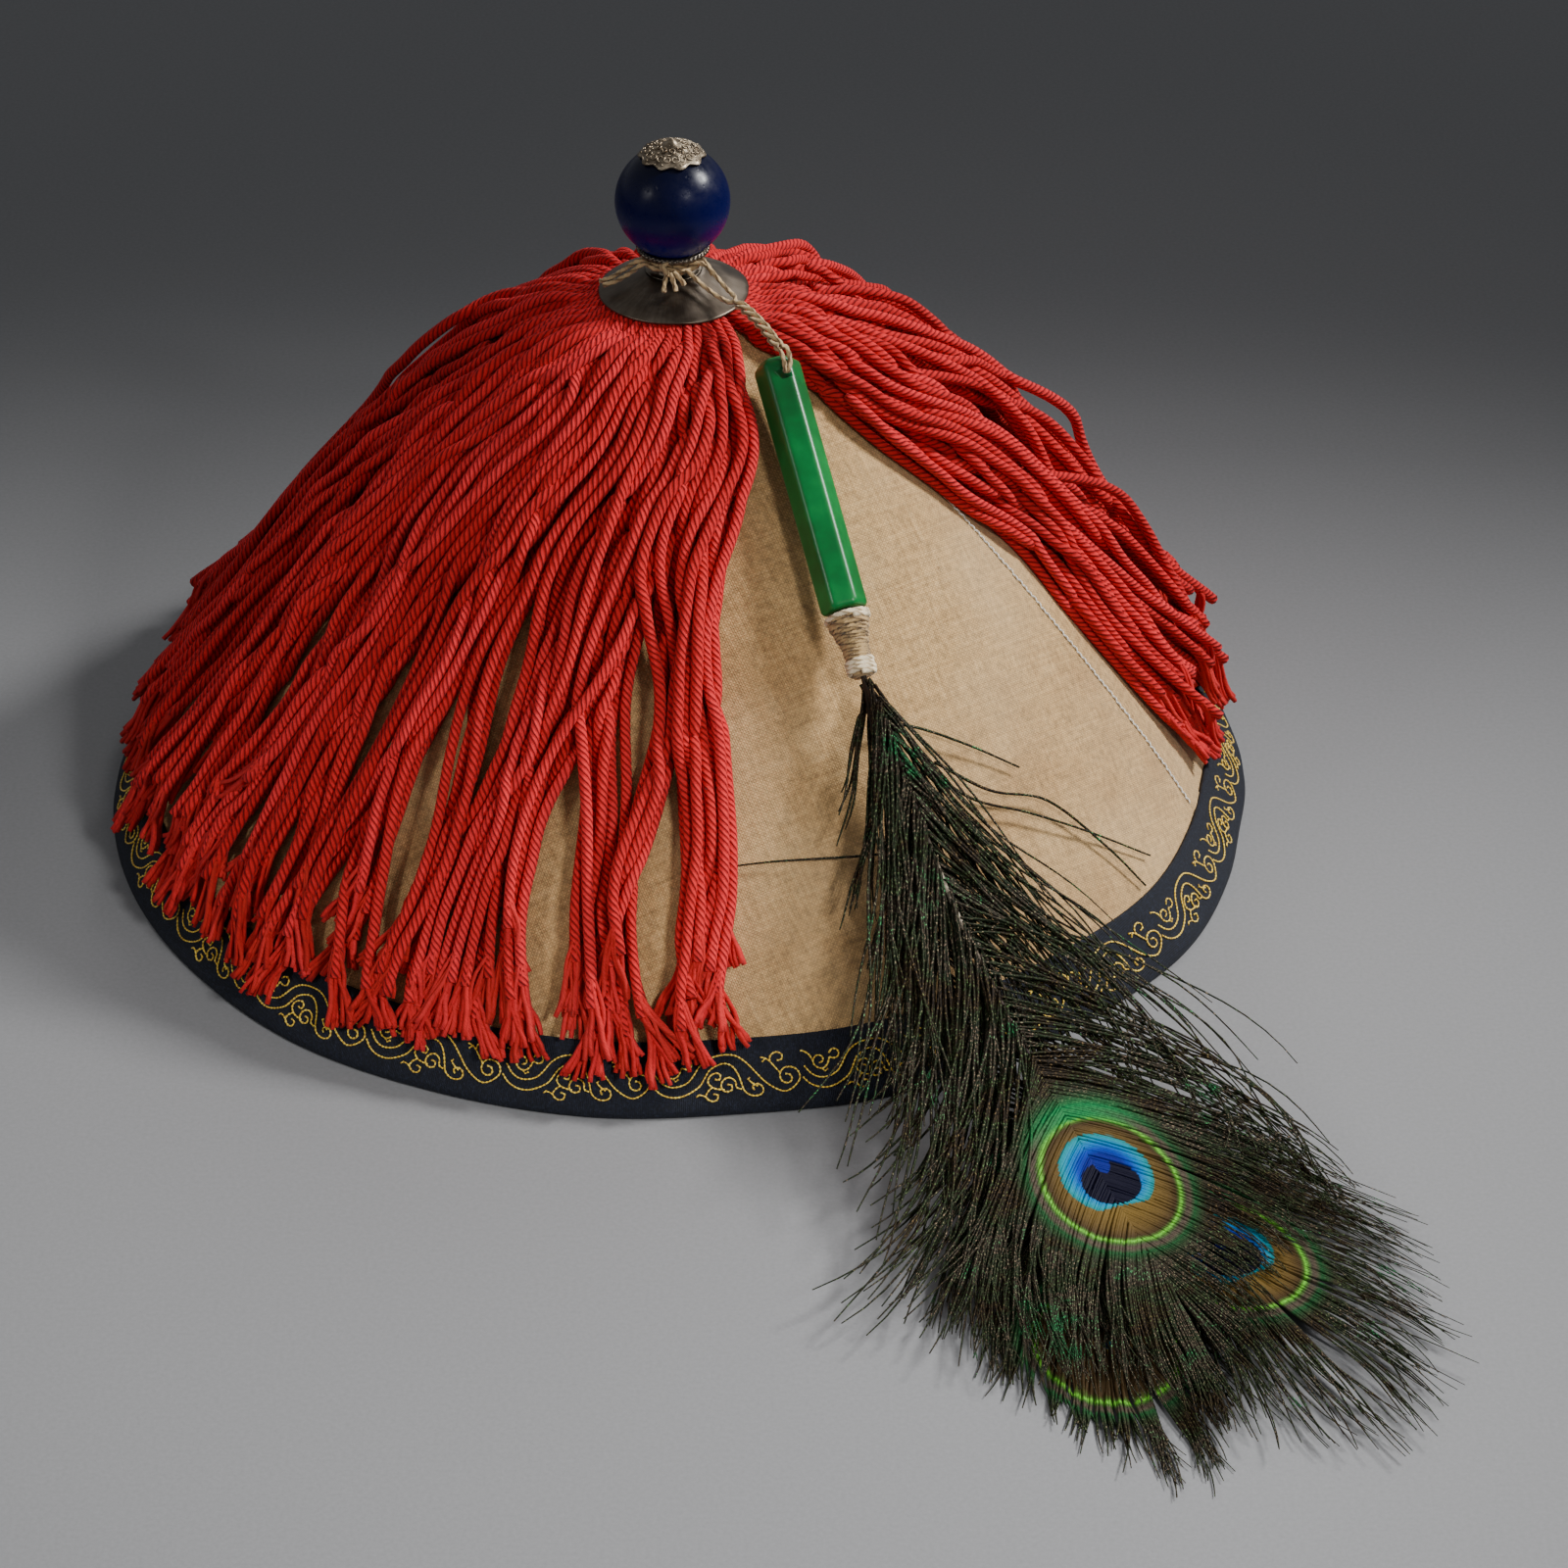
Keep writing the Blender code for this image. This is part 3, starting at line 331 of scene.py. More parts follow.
class Pile:
    """Gathers rows of rings into one mesh with two UV maps: one along the piece, one its own."""

    def __init__(self):
        self.spots = []
        self.quads = []
        self.uv = []
        self.mark = []
        self.count = 0

    def add(self, rings, u, v, mark=(0, 0), closed=True):
        """rings is (stations, sides, 3); u is per side with one more for the seam; v per
        station; mark is (stations, sides, 2) or one pair."""
        rings = np.asarray(rings, float)
        stations, sides = rings.shape[:2]
        index = self.count + np.arange(stations * sides).reshape(stations, sides)
        span = sides if closed else sides - 1
        a = index[:-1, :span]
        b = np.roll(index, -1, 1)[:-1, :span]
        c = np.roll(index, -1, 1)[1:, :span]
        d = index[1:, :span]
        self.quads.append(np.stack([a, b, c, d], -1).reshape(-1, 4))
        u = np.asarray(u, float)
        v = np.asarray(v, float)
        low_u, high_u = u[:span], u[1:span + 1]
        corner_u = np.stack([low_u, high_u, high_u, low_u], -1)[None].repeat(stations - 1, 0)
        corner_v = np.stack([v[:-1], v[:-1], v[1:], v[1:]], -1)[:, None].repeat(span, 1)
        self.uv.append(np.stack([corner_u, corner_v], -1).reshape(-1, 2))
        mark = np.broadcast_to(np.asarray(mark, float), (stations, sides, 2))
        rolled = np.roll(mark, -1, 1)
        corners = np.stack([mark[:-1, :span], rolled[:-1, :span], rolled[1:, :span],
                            mark[1:, :span]], 2)
        self.mark.append(corners.reshape(-1, 2))
        self.spots.append(rings.reshape(-1, 3))
        self.count += stations * sides

    def make(self, name, finish, slot):
        spots = np.concatenate(self.spots)
        quads = np.concatenate(self.quads)
        mesh = bpy.data.meshes.new(name)
        mesh.vertices.add(len(spots))
        mesh.vertices.foreach_set("co", spots.astype(np.float32).ravel())
        mesh.loops.add(quads.size)
        mesh.loops.foreach_set("vertex_index", quads.astype(np.int32).ravel())
        mesh.polygons.add(len(quads))
        mesh.polygons.foreach_set("loop_start", np.arange(0, quads.size, 4, dtype=np.int32))
        mesh.polygons.foreach_set("loop_total", np.full(len(quads), 4, np.int32))
        for title, values in (("along", self.uv), ("mark", self.mark)):
            layer = mesh.uv_layers.new(name=title)
            layer.data.foreach_set("uv", np.concatenate(values).astype(np.float32).ravel())
        mesh.update(calc_edges=True)
        mesh.validate()
        mesh.shade_smooth()
        mesh.materials.append(finish)
        made = bpy.data.objects.new(name, mesh)
        bpy.context.scene.collection.objects.link(made)
        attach(made, "root")
        return made


def strand(pile, path, radius, sides=8, lobes=0, depth=0.0, twist=0.0, mark=(0, 0), normal=None):
    """Tube along a path (n, 3). radius is a number or one per station, twist in radians/m, and
    lobes are plies that stand out by the depth."""
    path = np.asarray(path, float)
    tangent = unit(np.gradient(path, axis=0))
    if normal is None:
        side = np.zeros_like(path)
        first = np.cross(tangent[0], (0, 0, 1.0))
        if np.linalg.norm(first) < 1e-6:
            first = np.array((1.0, 0, 0))
        side[0] = unit(first)
        for i in range(1, len(path)):
            turned = side[i - 1] - tangent[i] * np.dot(side[i - 1], tangent[i])
            side[i] = unit(turned)
    else:
        side = unit(np.cross(tangent, normal))
    other = np.cross(side, tangent)
    run = distances(path)
    angle = math.tau * np.arange(sides) / sides
    swell = 1 - depth * (1 - np.abs(np.cos(lobes * angle / 2)))
    turned = angle[None, :] + twist * run[:, None]
    reach = np.broadcast_to(np.asarray(radius, float), (len(path),))[:, None] * swell[None, :]
    rings = (path[:, None] + side[:, None] * (np.cos(turned) * reach)[..., None]
             + other[:, None] * (np.sin(turned) * reach)[..., None])
    centre = path[[0, -1]][:, None].repeat(sides, 1)
    rings = np.concatenate([centre[:1], rings, centre[1:]])
    run = np.concatenate([[run[0]], run, [run[-1]]])
    pile.add(rings, np.linspace(0, 1, sides + 1), run / MM / 10, mark)


def smooth_path(points, steps):
    """Catmull-Rom curve through points."""
    points = np.asarray(points, float)
    ends = np.concatenate([[points[0] * 2 - points[1]], points, [points[-1] * 2 - points[-2]]])
    t = (np.arange(steps) / steps)[:, None]
    parts = []
    for a, b, c, d in zip(ends, ends[1:], ends[2:], ends[3:]):
        parts.append(0.5 * (2 * b + (c - a) * t + (2 * a - 5 * b + 4 * c - d) * t ** 2
                            + (3 * b - a - 3 * c + d) * t ** 3))
    return np.concatenate(parts + [points[-1:]])


def lathe(pile, profile, columns, shape=None, frame_of=None):
    """Turn a profile of (radius, height). shape(angle, radius, height) may change the rings, and
    frame_of(rings) moves them to their place."""
    profile = np.asarray(profile, float)
    angle = math.tau * np.arange(columns) / columns
    radius = profile[:, :1] + np.zeros((1, columns))
    height = profile[:, 1:] + np.zeros((1, columns))
    if shape:
        radius, height = shape(angle[None, :], radius, height)
    rings = around(radius, angle, height)
    if frame_of:
        rings = frame_of(rings)
    pile.add(rings, np.linspace(0, 1, columns + 1), distances(profile) / MM / 10)


# Helpers for materials

class Value:
    """A node's output. Sums and products of it add the nodes that work them out."""

    def __init__(self, paint, socket):
        self.paint = paint
        self.socket = socket

    def __add__(self, other):
        return self.paint.math("ADD", self, other)

    def __sub__(self, other):
        return self.paint.math("SUBTRACT", self, other)

    def __mul__(self, other):
        return self.paint.math("MULTIPLY", self, other)

    def at_least(self, other):
        return self.paint.math("MAXIMUM", self, other)

    def sine(self):
        return self.paint.math("SINE", self)

    def size(self):
        return self.paint.math("ABSOLUTE", self)

    def root(self):
        return self.paint.math("SQRT", self)


class Paint:
    """Short hand for a node material on a Principled shader."""

    def __init__(self, name, roughness=0.5, metallic=0.0, **fixed):
        self.made = bpy.data.materials.new(name)
        self.made.use_nodes = True
        self.nodes = self.made.node_tree.nodes
        self.links = self.made.node_tree.links
        self.shader = self.nodes["Principled BSDF"]
        self.shader.inputs["Roughness"].default_value = roughness
        self.shader.inputs["Metallic"].default_value = metallic
        for socket, value in fixed.items():
            self.shader.inputs[socket.replace("_", " ")].default_value = value

    def put(self, sockets, values):
        """Set each socket to a number or colour, or link it to another node's output."""
        for socket, value in zip(sockets, values):
            if isinstance(value, Value):
                self.links.new(value.socket, socket)
            else:
                socket.default_value = (*value, 1) if isinstance(value, tuple) else value

    def split(self, vector):
        node = self.nodes.new("ShaderNodeSeparateXYZ")
        self.put(node.inputs, [vector])
        return [Value(self, output) for output in node.outputs]

    def uv(self, name):
        node = self.nodes.new("ShaderNodeUVMap")
        node.uv_map = name
        return self.split(Value(self, node.outputs[0]))[:2]

    def place(self):
        return Value(self, self.nodes.new("ShaderNodeTexCoord").outputs["Object"])

    def math(self, kind, *values):
        node = self.nodes.new("ShaderNodeMath")
        node.operation = kind
        self.put(node.inputs, values)
        return Value(self, node.outputs[0])

    def join(self, *parts):
        node = self.nodes.new("ShaderNodeCombineXYZ")
        self.put(node.inputs, parts)
        return Value(self, node.outputs[0])

    def noise(self, vector, scale=1.0, detail=2.0, roughness=0.5):
        node = self.nodes.new("ShaderNodeTexNoise")
        names = ("Vector", "Scale", "Detail", "Roughness")
        self.put([node.inputs[name] for name in names], (vector, scale, detail, roughness))
        return Value(self, node.outputs["Fac"])

    def ramp(self, value, *stops):
        node = self.nodes.new("ShaderNodeValToRGB")
        elements = node.color_ramp.elements
        while len(elements) < len(stops):
            elements.new(0.5)
        for element, (place, colour) in zip(elements, stops):
            element.position = place
            element.color = (*(colour if isinstance(colour, tuple) else (colour,) * 3), 1)
        self.put(node.inputs, [value])
        return Value(self, node.outputs[0])

    def mix(self, part, a, b, kind="MIX"):
        node = self.nodes.new("ShaderNodeMix")
        node.data_type = "RGBA"
        node.blend_type = kind
        self.put((node.inputs[0], node.inputs[6], node.inputs[7]), (part, a, b))
        return Value(self, node.outputs[2])

    def times(self, a, b):
        return self.mix(1.0, a, b, "MULTIPLY")

    def finish(self, colour, height, depth, strength, roughness=None):
        """Link the colour, the bump and, if given, the roughness, and return the material."""
        node = self.nodes.new("ShaderNodeBump")
        node.inputs["Strength"].default_value = strength
        node.inputs["Distance"].default_value = depth
        self.put([node.inputs["Height"], self.shader.inputs["Base Color"]], [height, colour])
        self.put([self.shader.inputs["Normal"]], [Value(self, node.outputs[0])])
        if roughness:
            self.put([self.shader.inputs["Roughness"]], [roughness])
        return self.made


def linen_paint():
    """Plain weave: threads over and under, slubs, faint stains, and painted shade in the hollows between the
    threads.
    """
    p = Paint("linen_weave", 0.92, Sheen_Weight=0.15)
    x, y = p.uv("along")
    wobble = p.noise(p.place(), 90, 2) * 3
    warp = (x * (THREADS * math.pi) + wobble).sine()
    weft = (y * (THREADS * math.pi) + wobble).sine()
    height = warp * weft * 0.35 + warp.size().at_least(weft.size())
    slub = p.noise(p.join(x * 14, y * 0.7), 1, 3) + p.noise(p.join(x * 0.7, y * 14), 1, 3)
    base = p.ramp(slub * 0.5, (0.36, (0.40, 0.235, 0.090)), (0.5, (0.50, 0.305, 0.122)),
                  (0.64, (0.59, 0.375, 0.165)))
    # Painted shade: the colour is darker in the hollows between the threads and lighter on their tops.
    weave_shade = p.ramp(height, (0.1, 0.45), (0.75, 0.92), (1.2, 1.15))
    coarse = p.ramp(p.noise(p.place(), 620, 3, 0.7), (0.34, 0.74), (0.5, 1.0), (0.66, 1.20))
    woven = p.times(p.times(base, weave_shade), coarse)
    stain = p.ramp(p.noise(p.place(), 16, 4, 0.6), (0.42, 0.0), (0.62, 1.0))
    dirty = p.mix(stain * 0.6, woven, (0.42, 0.28, 0.15), "MULTIPLY")
    pale = p.ramp(p.noise(p.place(), 11, 3, 0.6), (0.5, 0.0), (0.7, 1.0))
    washed = p.mix(pale * 0.30, woven, (0.62, 0.45, 0.26))
    stained = p.mix(stain * 0.50, washed, dirty)
    spots = p.ramp(p.noise(p.place(), 150, 2, 0.5), (0.735, 0.0), (0.78, 1.0))
    colour = p.mix(spots * 0.6, stained, (0.16, 0.08, 0.03))
    return p.finish(colour, slub * 0.5 + height, 0.12 * MM, 0.9)


def navy_paint():
    """Ribbed ribbon with a fine speckle where the threads catch the light."""
    p = Paint("navy_rib", 0.78, Sheen_Weight=0.03, Specular_IOR_Level=0.3)
    x, y = p.uv("along")
    ribs = (x * (math.tau * RIBBON_RIBS)).sine()
    weave = ribs * (y * (math.tau * RIBBON_PICKS)).sine()
    tone = p.ramp(weave * 0.18 + p.noise(p.place(), 1500, 2, 0.7), (0.36, (0.002, 0.003, 0.006)),
                  (0.60, (0.006, 0.008, 0.017)), (0.84, (0.025, 0.033, 0.060)))
    return p.finish(tone, weave * 0.5 + ribs, 0.09 * MM, 0.8)


def thread_paint():
    """Gold thread in short stitches, with painted shade between the stitches."""
    p = Paint("gold_thread", 0.45, Sheen_Weight=0.2)
    stitch = (p.uv("along")[1] * (math.tau * THREAD_STITCHES)).sine()
    # Painted shade: the stitch wave darkens the colour between the stitches and lightens it on them.
    tone = p.ramp(stitch * 0.16 + p.noise(p.place(), 900, 2, 0.7), (0.28, (0.40, 0.21, 0.008)),
                  (0.5, (0.85, 0.52, 0.025)), (0.75, (0.98, 0.76, 0.12)))
    return p.finish(tone, stitch, 0.1 * MM, 0.6)


def cord_paint(name, plies, frayed):
    """Twisted red cotton. The plies run slantwise round the cord, with painted shade in the grooves between them
    and painted highlights on their tops.
    """
    p = Paint(name, 0.88, Sheen_Weight=0.02, Specular_IOR_Level=0.12)
    u, v = p.uv("along")
    shade, tone = p.uv("mark")
    laid = tone * 1.1 + (10 * MM / PLY_STEP - 0.6)
    slant = p.noise(p.join(v, tone), 1.6, 1) * 1.2 + (v * laid + u * -plies)
    fibre = p.noise(p.join(slant * 7, v * 5, tone * 40), 1, 3, 0.65)
    # Painted shade: darker between the fibres of a yarn and in the grooves between the plies, and a painted
    # highlight on the ply tops.
    if frayed:
        height = fibre * 0.8
        groove_shade = p.ramp(fibre, (0.25, 0.45), (0.55, 1.0), (0.8, 1.25))
    else:
        height = fibre * 0.60 + (slant * math.pi).sine().size()
        groove_shade = p.ramp(height, (0.14, 0.12), (0.40, 0.42), (0.78, 0.88), (1.3, 1.35))
    red = p.ramp(tone, (0.0, (0.35, 0.009, 0.011)), (0.5, (0.53, 0.017, 0.019)),
                 (1.0, (0.64, 0.026, 0.031)))
    rubbed = p.ramp(p.noise(p.place(), 60, 3, 0.6), (0.55, 0.0), (0.75, 0.2))
    lit = p.times(p.mix(rubbed, red, (0.66, 0.045, 0.050)), groove_shade)
    return p.finish(p.mix(shade, lit, (0.85, 0.10, 0.06)), height, (0.12 if frayed else 0.42) * MM, 1.0)


def hemp_paint(name, pale, dark):
    """Two ply string, coloured from its bump: painted shade in the grooves between the plies, pale ply tops."""
    p = Paint(name, 0.88, Sheen_Weight=0.2)
    u, v = p.uv("along")
    slant = v * 7.0 + u * 2
    height = p.noise(p.join(slant * 5, v * 8), 1, 3, 0.7) * 0.6 + (slant * math.pi).sine().size()
    middle = tuple(0.5 * (a + b) for a, b in zip(pale, dark))
    # Painted shade: the dark colour lies in the grooves between the plies and the pale one on their tops.
    return p.finish(p.ramp(height, (0.25, dark), (0.75, middle), (1.25, pale)), height, 0.22 * MM, 0.9)


def metal_paint(name, dark, light, roughness, scale):
    p = Paint(name, roughness, 1.0)
    grain = p.noise(p.place(), scale, 5, 0.65)
    cloud = p.noise(p.place(), scale * 0.16, 3, 0.6)
    rough = p.ramp(cloud, (0.35, roughness - 0.1), (0.65, roughness + 0.12))
    return p.finish(p.ramp(grain * 0.5 + cloud * 0.5, (0.38, dark), (0.62, light)), grain,
                    0.06 * MM, 0.5, rough)


def disc_paint():
    """Dark patinated disc, brushed outwards, with worn patches."""
    p = Paint("patina", 0.36, 0.85)
    x, y, _ = p.split(p.place())
    away = (x * x + y * y).root()
    brushed = p.noise(p.join(p.math("ARCTAN2", y, x) * 30, away * 160), 1, 4, 0.7)
    cloud = p.noise(p.place(), 110, 4, 0.65)
    both = brushed * 0.30 + cloud * 0.70
    tone = p.ramp(both, (0.36, (0.075, 0.055, 0.038)), (0.52, (0.125, 0.098, 0.072)),
                  (0.66, (0.20, 0.165, 0.130)))
    return p.finish(tone, both, 0.02 * MM, 0.4, p.ramp(cloud, (0.35, 0.28), (0.65, 0.50)))


def ball_paint():
    """Deep blue glass with a scuffed skin and small pits, and a painted glow: brighter blue towards the bottom,
    darker towards the top.
    """
    p = Paint("cobalt_glass", 0.28, 0.0, IOR=1.34)
    z = p.split(p.place())[2]
    rise = z * (1 / (2 * BALL_RADIUS)) - (BALL_CENTRE - BALL_RADIUS) / (2 * BALL_RADIUS)
    # Painted glow: the blue is brightest at the bottom of the ball and darkens upwards, as light coming through
    # the glass would show.
    tone = p.ramp(rise, (0.02, (0.003, 0.004, 0.34)), (0.16, (0.001, 0.002, 0.17)),
                  (0.45, (0.0, 0.001, 0.060)), (0.9, (0.0, 0.001, 0.016)))
    pits = p.ramp(p.noise(p.place(), 900, 1, 0.5), (0.22, 0.0), (0.34, 1.0))
    scuffs = p.noise(p.place(), 420, 5, 0.7)
    return p.finish(tone, scuffs * 0.3 + pits, 0.07 * MM, 0.55,
                    p.ramp(scuffs, (0.35, 0.22), (0.7, 0.42)))


def jade_paint():
    """Bright green glass with clouds in it."""
    p = Paint("green_glass_clouds", 0.36, 0.0, Subsurface_Weight=0.25, Subsurface_Scale=0.003,
              Subsurface_Radius=(0.2, 1.0, 0.35), Coat_Weight=0.10, Coat_Roughness=0.16, IOR=1.42)
    fine = p.noise(p.place(), 240, 3, 0.6)
    body = p.ramp(fine * 0.3 + p.noise(p.place(), 55, 3, 0.5) * 0.7, (0.3, (0.0, 0.080, 0.013)),
                  (0.5, (0.0, 0.135, 0.024)), (0.7, (0.001, 0.22, 0.043)))
    return p.finish(body, fine, 0.03 * MM, 0.25)


def barb_paint():
    """Feather barbs. The mark map holds the place in the eye, in units of 100 mm about 0.5."""
    p = Paint("peacock", 0.62, 0.0, Specular_IOR_Level=0.12)
    u, v = p.uv("along")
    x, y = (part * 100 - 50 for part in p.uv("mark"))

    def oval(cx, cy, rx, ry):
        dx = (x - cx) * (1 / rx)
        dy = (y - cy) * (1 / ry)
        return (dx * dx + dy * dy).root()

    ring = oval(0, 0, EYE_WIDTH / MM, EYE_LENGTH / MM)
    halo = ring - 1.0
    disc = oval(0, -2.5, 11.2, 12.5).at_least(y * 0.128)
    notch = p.math("SUBTRACT", 1.0, oval(0, -7.2, 2.2, 4.4))
    heart = oval(0, 0.4, 7.3, 6.8).at_least(notch * 1.6 + 1.0)

    grain = p.noise(p.join(u * 3, v * 15), 1, 2, 0.7)
    # Painted glints: the grain darkens most of a loose barb and lights small specks up to sevenfold.
    painted_glints = p.ramp(grain, (0.40, 0.20), (0.54, 0.60), (0.62, 2.2), (0.68, 7.0))
    loose = p.ramp(grain * 0.30 + p.noise(p.place(), 75, 3, 0.6) * 0.75,
                   (0.36, (0.018, 0.011, 0.006)), (0.47, (0.040, 0.026, 0.011)),
                   (0.53, (0.016, 0.036, 0.012)), (0.60, (0.060, 0.036, 0.026)),
                   (0.70, (0.010, 0.080, 0.026)))
    outer = p.ramp(halo, (0.0, (0.12, 0.40, 0.03)), (0.035, (0.05, 0.12, 0.02)),
                   (0.08, (0.055, 0.045, 0.030)), (0.13, (0.07, 0.050, 0.035)),
                   (0.20, (0.008, 0.060, 0.016)), (0.38, (0.020, 0.022, 0.010)))
    wedge = (p.ramp(y * -0.02, (0.26, 0.0), (0.44, 1.0))
             * p.ramp(halo, (0.06, 1.0), (0.45, 0.0)))
    outer = p.mix(wedge, outer, (0.0, 0.17, 0.045))
    outer = p.times(outer, p.ramp(grain, (0.3, 0.5), (0.7, 1.5)))
    outside = p.mix(p.ramp(halo, (0.20, 0.0), (0.50, 1.0)), outer, p.times(loose, painted_glints))
    bronze = p.ramp(ring, (0.55, (0.135, 0.082, 0.016)), (0.80, (0.090, 0.054, 0.013)),
                    (0.93, (0.045, 0.026, 0.009)), (0.968, (0.05, 0.10, 0.015)),
                    (1.0, (0.14, 0.46, 0.035)))
    blue = p.ramp(disc, (0.48, (0.002, 0.008, 0.16)), (0.60, (0.001, 0.030, 0.30)),
                  (0.74, (0.0, 0.130, 0.36)), (0.90, (0.0, 0.22, 0.29)), (1.0, (0.002, 0.16, 0.15)))
    inside = p.mix(p.ramp(disc, (0.985, 1.0), (1.0, 0.0)), bronze, blue)
    inside = p.mix(p.ramp(heart, (0.97, 1.0), (1.0, 0.0)), inside, (0.0012, 0.0010, 0.010))
    inside = p.times(inside, p.ramp(grain * 0.6 + 0.2, (0.3, 0.70), (0.7, 1.25)))
    colour = p.mix(p.ramp(ring, (0.985, 1.0), (1.0, 0.0)), outside, inside)
    return p.finish(colour, grain, 0.12 * MM, 0.6)


def quill_paint():
    """Dark horn, with a painted glint: pale for a stretch above the tail."""
    p = Paint("quill_horn", 0.55, Specular_IOR_Level=0.2)
    grain = p.noise(p.place(), 500, 3)
    # Painted highlight: the pale stop in the middle of the ramp stands for a glint on the quill.
    tone = p.ramp(grain * 0.12 + p.uv("along")[1] * (1 / 17), (0.10, (0.03, 0.02, 0.012)),
                  (0.44, (0.03, 0.02, 0.012)), (0.55, (0.45, 0.38, 0.28)),
                  (0.64, (0.06, 0.04, 0.025)), (0.80, (0.02, 0.012, 0.012)))
    return p.finish(tone, grain, 0.04 * MM, 0.4)


DISC_RIM_HEIGHT = float(crown_rise(DISC_RADIUS)) + DISC_LIFT
DISC_TOP = DISC_RIM_HEIGHT + DISC_RISE
COLLAR_BOTTOM = DISC_TOP + GAP
COLLAR_TOP = COLLAR_BOTTOM + COLLAR_HEIGHT
CUP_RADIUS = BALL_RADIUS + GAP
CUP_LIP = COLLAR_FLARE_RADIUS - 0.4 * MM
BALL_CENTRE = COLLAR_TOP + math.sqrt(CUP_RADIUS ** 2 - CUP_LIP ** 2)

LINEN = linen_paint()
NAVY = navy_paint()
GOLD = thread_paint()
CORD = cord_paint("red_cotton", 5, False)
YARN = cord_paint("red_yarn", 2, True)
TAN = hemp_paint("tan_twist", (0.46, 0.30, 0.13), (0.12, 0.065, 0.022))
STITCH = hemp_paint("white_thread", (0.97, 0.94, 0.86), (0.80, 0.72, 0.58))
HEMP = hemp_paint("hemp_twist", (0.58, 0.40, 0.20), (0.14, 0.075, 0.026))
CREAM = hemp_paint("cream_twist", (0.84, 0.70, 0.47), (0.38, 0.25, 0.11))
DISC_METAL = disc_paint()
SILVER = metal_paint("tarnished", (0.09, 0.058, 0.034), (0.52, 0.43, 0.31), 0.38, 700)
DARK_SILVER = metal_paint("dark_silver", (0.035, 0.027, 0.020), (0.30, 0.25, 0.19), 0.40, 900)
COBALT = ball_paint()
JADE = jade_paint()
BARBS = barb_paint()
QUILL = quill_paint()


# Crown

def wrinkles(azimuth, radius):
    """Soft folds of the linen, near the rim and beside the seam."""
    share = radius / CROWN_EDGE
    fold = 0.55 * MM * np.sin(np.radians(azimuth) * 9 + 4 * share) * ease((share - 0.45) / 0.5)
    fold += 0.30 * MM * np.sin(np.radians(azimuth) * 23 + 11 * share) * ease((share - 0.7) / 0.3)
    return fold * (1 - ease((radius - BAND_TOP + 12 * MM) / (12 * MM)))


def build_crown():
    """Linen cone with its weave laid out as the cloth is cut, flat."""
    columns = 320
    azimuth = 360 * np.arange(columns) / columns
    radii = np.concatenate([np.linspace(3.2 * MM, BAND_TOP, 56),
                            np.linspace(BAND_TOP, CROWN_EDGE, 6)[1:]])
    slant = distances(np.stack([radii, crown_rise(radii)], -1))
    fan = CROWN_EDGE / slant[-1]
    outer = np.stack([crown_point(azimuth, r, wrinkles(azimuth, r)) for r in radii])
    inner = np.stack([crown_point(azimuth, r, wrinkles(azimuth, r) - CROWN_WALL)
                      for r in radii[::2]])
    inner[0] = crown_point(azimuth, radii[0], 0) - np.array((0, 0, CROWN_WALL))
    foot_out = foot_point(azimuth, 0, CROWN_FOOT)
    foot_in = foot_point(azimuth, -CROWN_WALL, CROWN_FOOT)
    rings = np.concatenate([outer[:-1], foot_out[None], foot_in[None], inner[::-1], outer[:1]])
    runs = np.concatenate([slant, [slant[-1]], slant[::2][::-1], slant[:1]])
    pile = Pile()
    pile.add(rings, np.linspace(0, 1, columns + 1), runs)
    corners = pile.uv[0]
    turn = (corners[:, 0] - 0.5) * math.tau * fan
    pile.uv[0] = np.stack([corners[:, 1] * np.cos(turn), corners[:, 1] * np.sin(turn)], -1) / MM / 10
    made = pile.make("linen_cone", LINEN, "linen")
    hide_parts("crown")
    return made


def band_profile(azimuth):
    """Rows of the folded ribbon: down the outside, under the edge, up inside and back."""
    outside = GAP + BAND_WALL
    inside = CROWN_WALL + GAP
    lining = inside + BAND_WALL
    rows = []
    for share in np.linspace(0, 1, 12):
        radius = BAND_TOP + (CROWN_EDGE - BAND_TOP) * share
        fold = 0.18 * MM * np.sin(np.radians(azimuth) * 31) * ease(share * 3)
        crease = -0.35 * MM * math.exp(-((share - 0.76) / 0.035) ** 2)
        rows.append(crown_point(azimuth, radius, outside + fold * 0.6 + crease))
    rows.append(foot_point(azimuth, outside * 0.86, 0.35 * MM))
    rows.append(foot_point(azimuth, outside * 0.5, 0.0))
    rows.append(foot_point(azimuth, -lining + 0.4 * MM, 0.0))
    middle = (BAND_TOP + CROWN_EDGE) / 2
    rows.append(foot_point(azimuth, -lining, 0.4 * MM))
    for share in (0.75, 0.5, 0.25, 0):
        rows.append(crown_point(azimuth, middle + (CROWN_EDGE - middle) * share, -lining))
    for share in (0, 0.25, 0.5, 0.75):
        rows.append(crown_point(azimuth, middle + (CROWN_EDGE - middle) * share, -inside))
    rows.append(foot_point(azimuth, -inside, BAND_WALL))
    rows.append(foot_point(azimuth, GAP, BAND_WALL))
    for share in (0.8, 0.6, 0.4, 0.2, 0):
        rows.append(crown_point(azimuth, BAND_TOP + (CROWN_EDGE - BAND_TOP) * share, GAP))
    rows.append(rows[0])
    return np.stack(rows)


def build_band():
    columns = 360
    azimuth = 360 * np.arange(columns) / columns
    rings = band_profile(azimuth)
    pile = Pile()
    pile.add(rings, np.linspace(0, math.tau * RIM_RADIUS / MM / 10, columns + 1),
             distances(rings[:, 0]) / MM / 10)
    made = pile.make("rim_ribbon", NAVY, "navy_ribbon")
    bm = bmesh.new()
    bm.from_mesh(made.data)
    bmesh.ops.remove_doubles(bm, verts=bm.verts, dist=0.001 * MM)
    bm.to_mesh(made.data)
    bm.free()
    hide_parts("brim_band")
    return made


# Scroll on the ribbon, one repeat

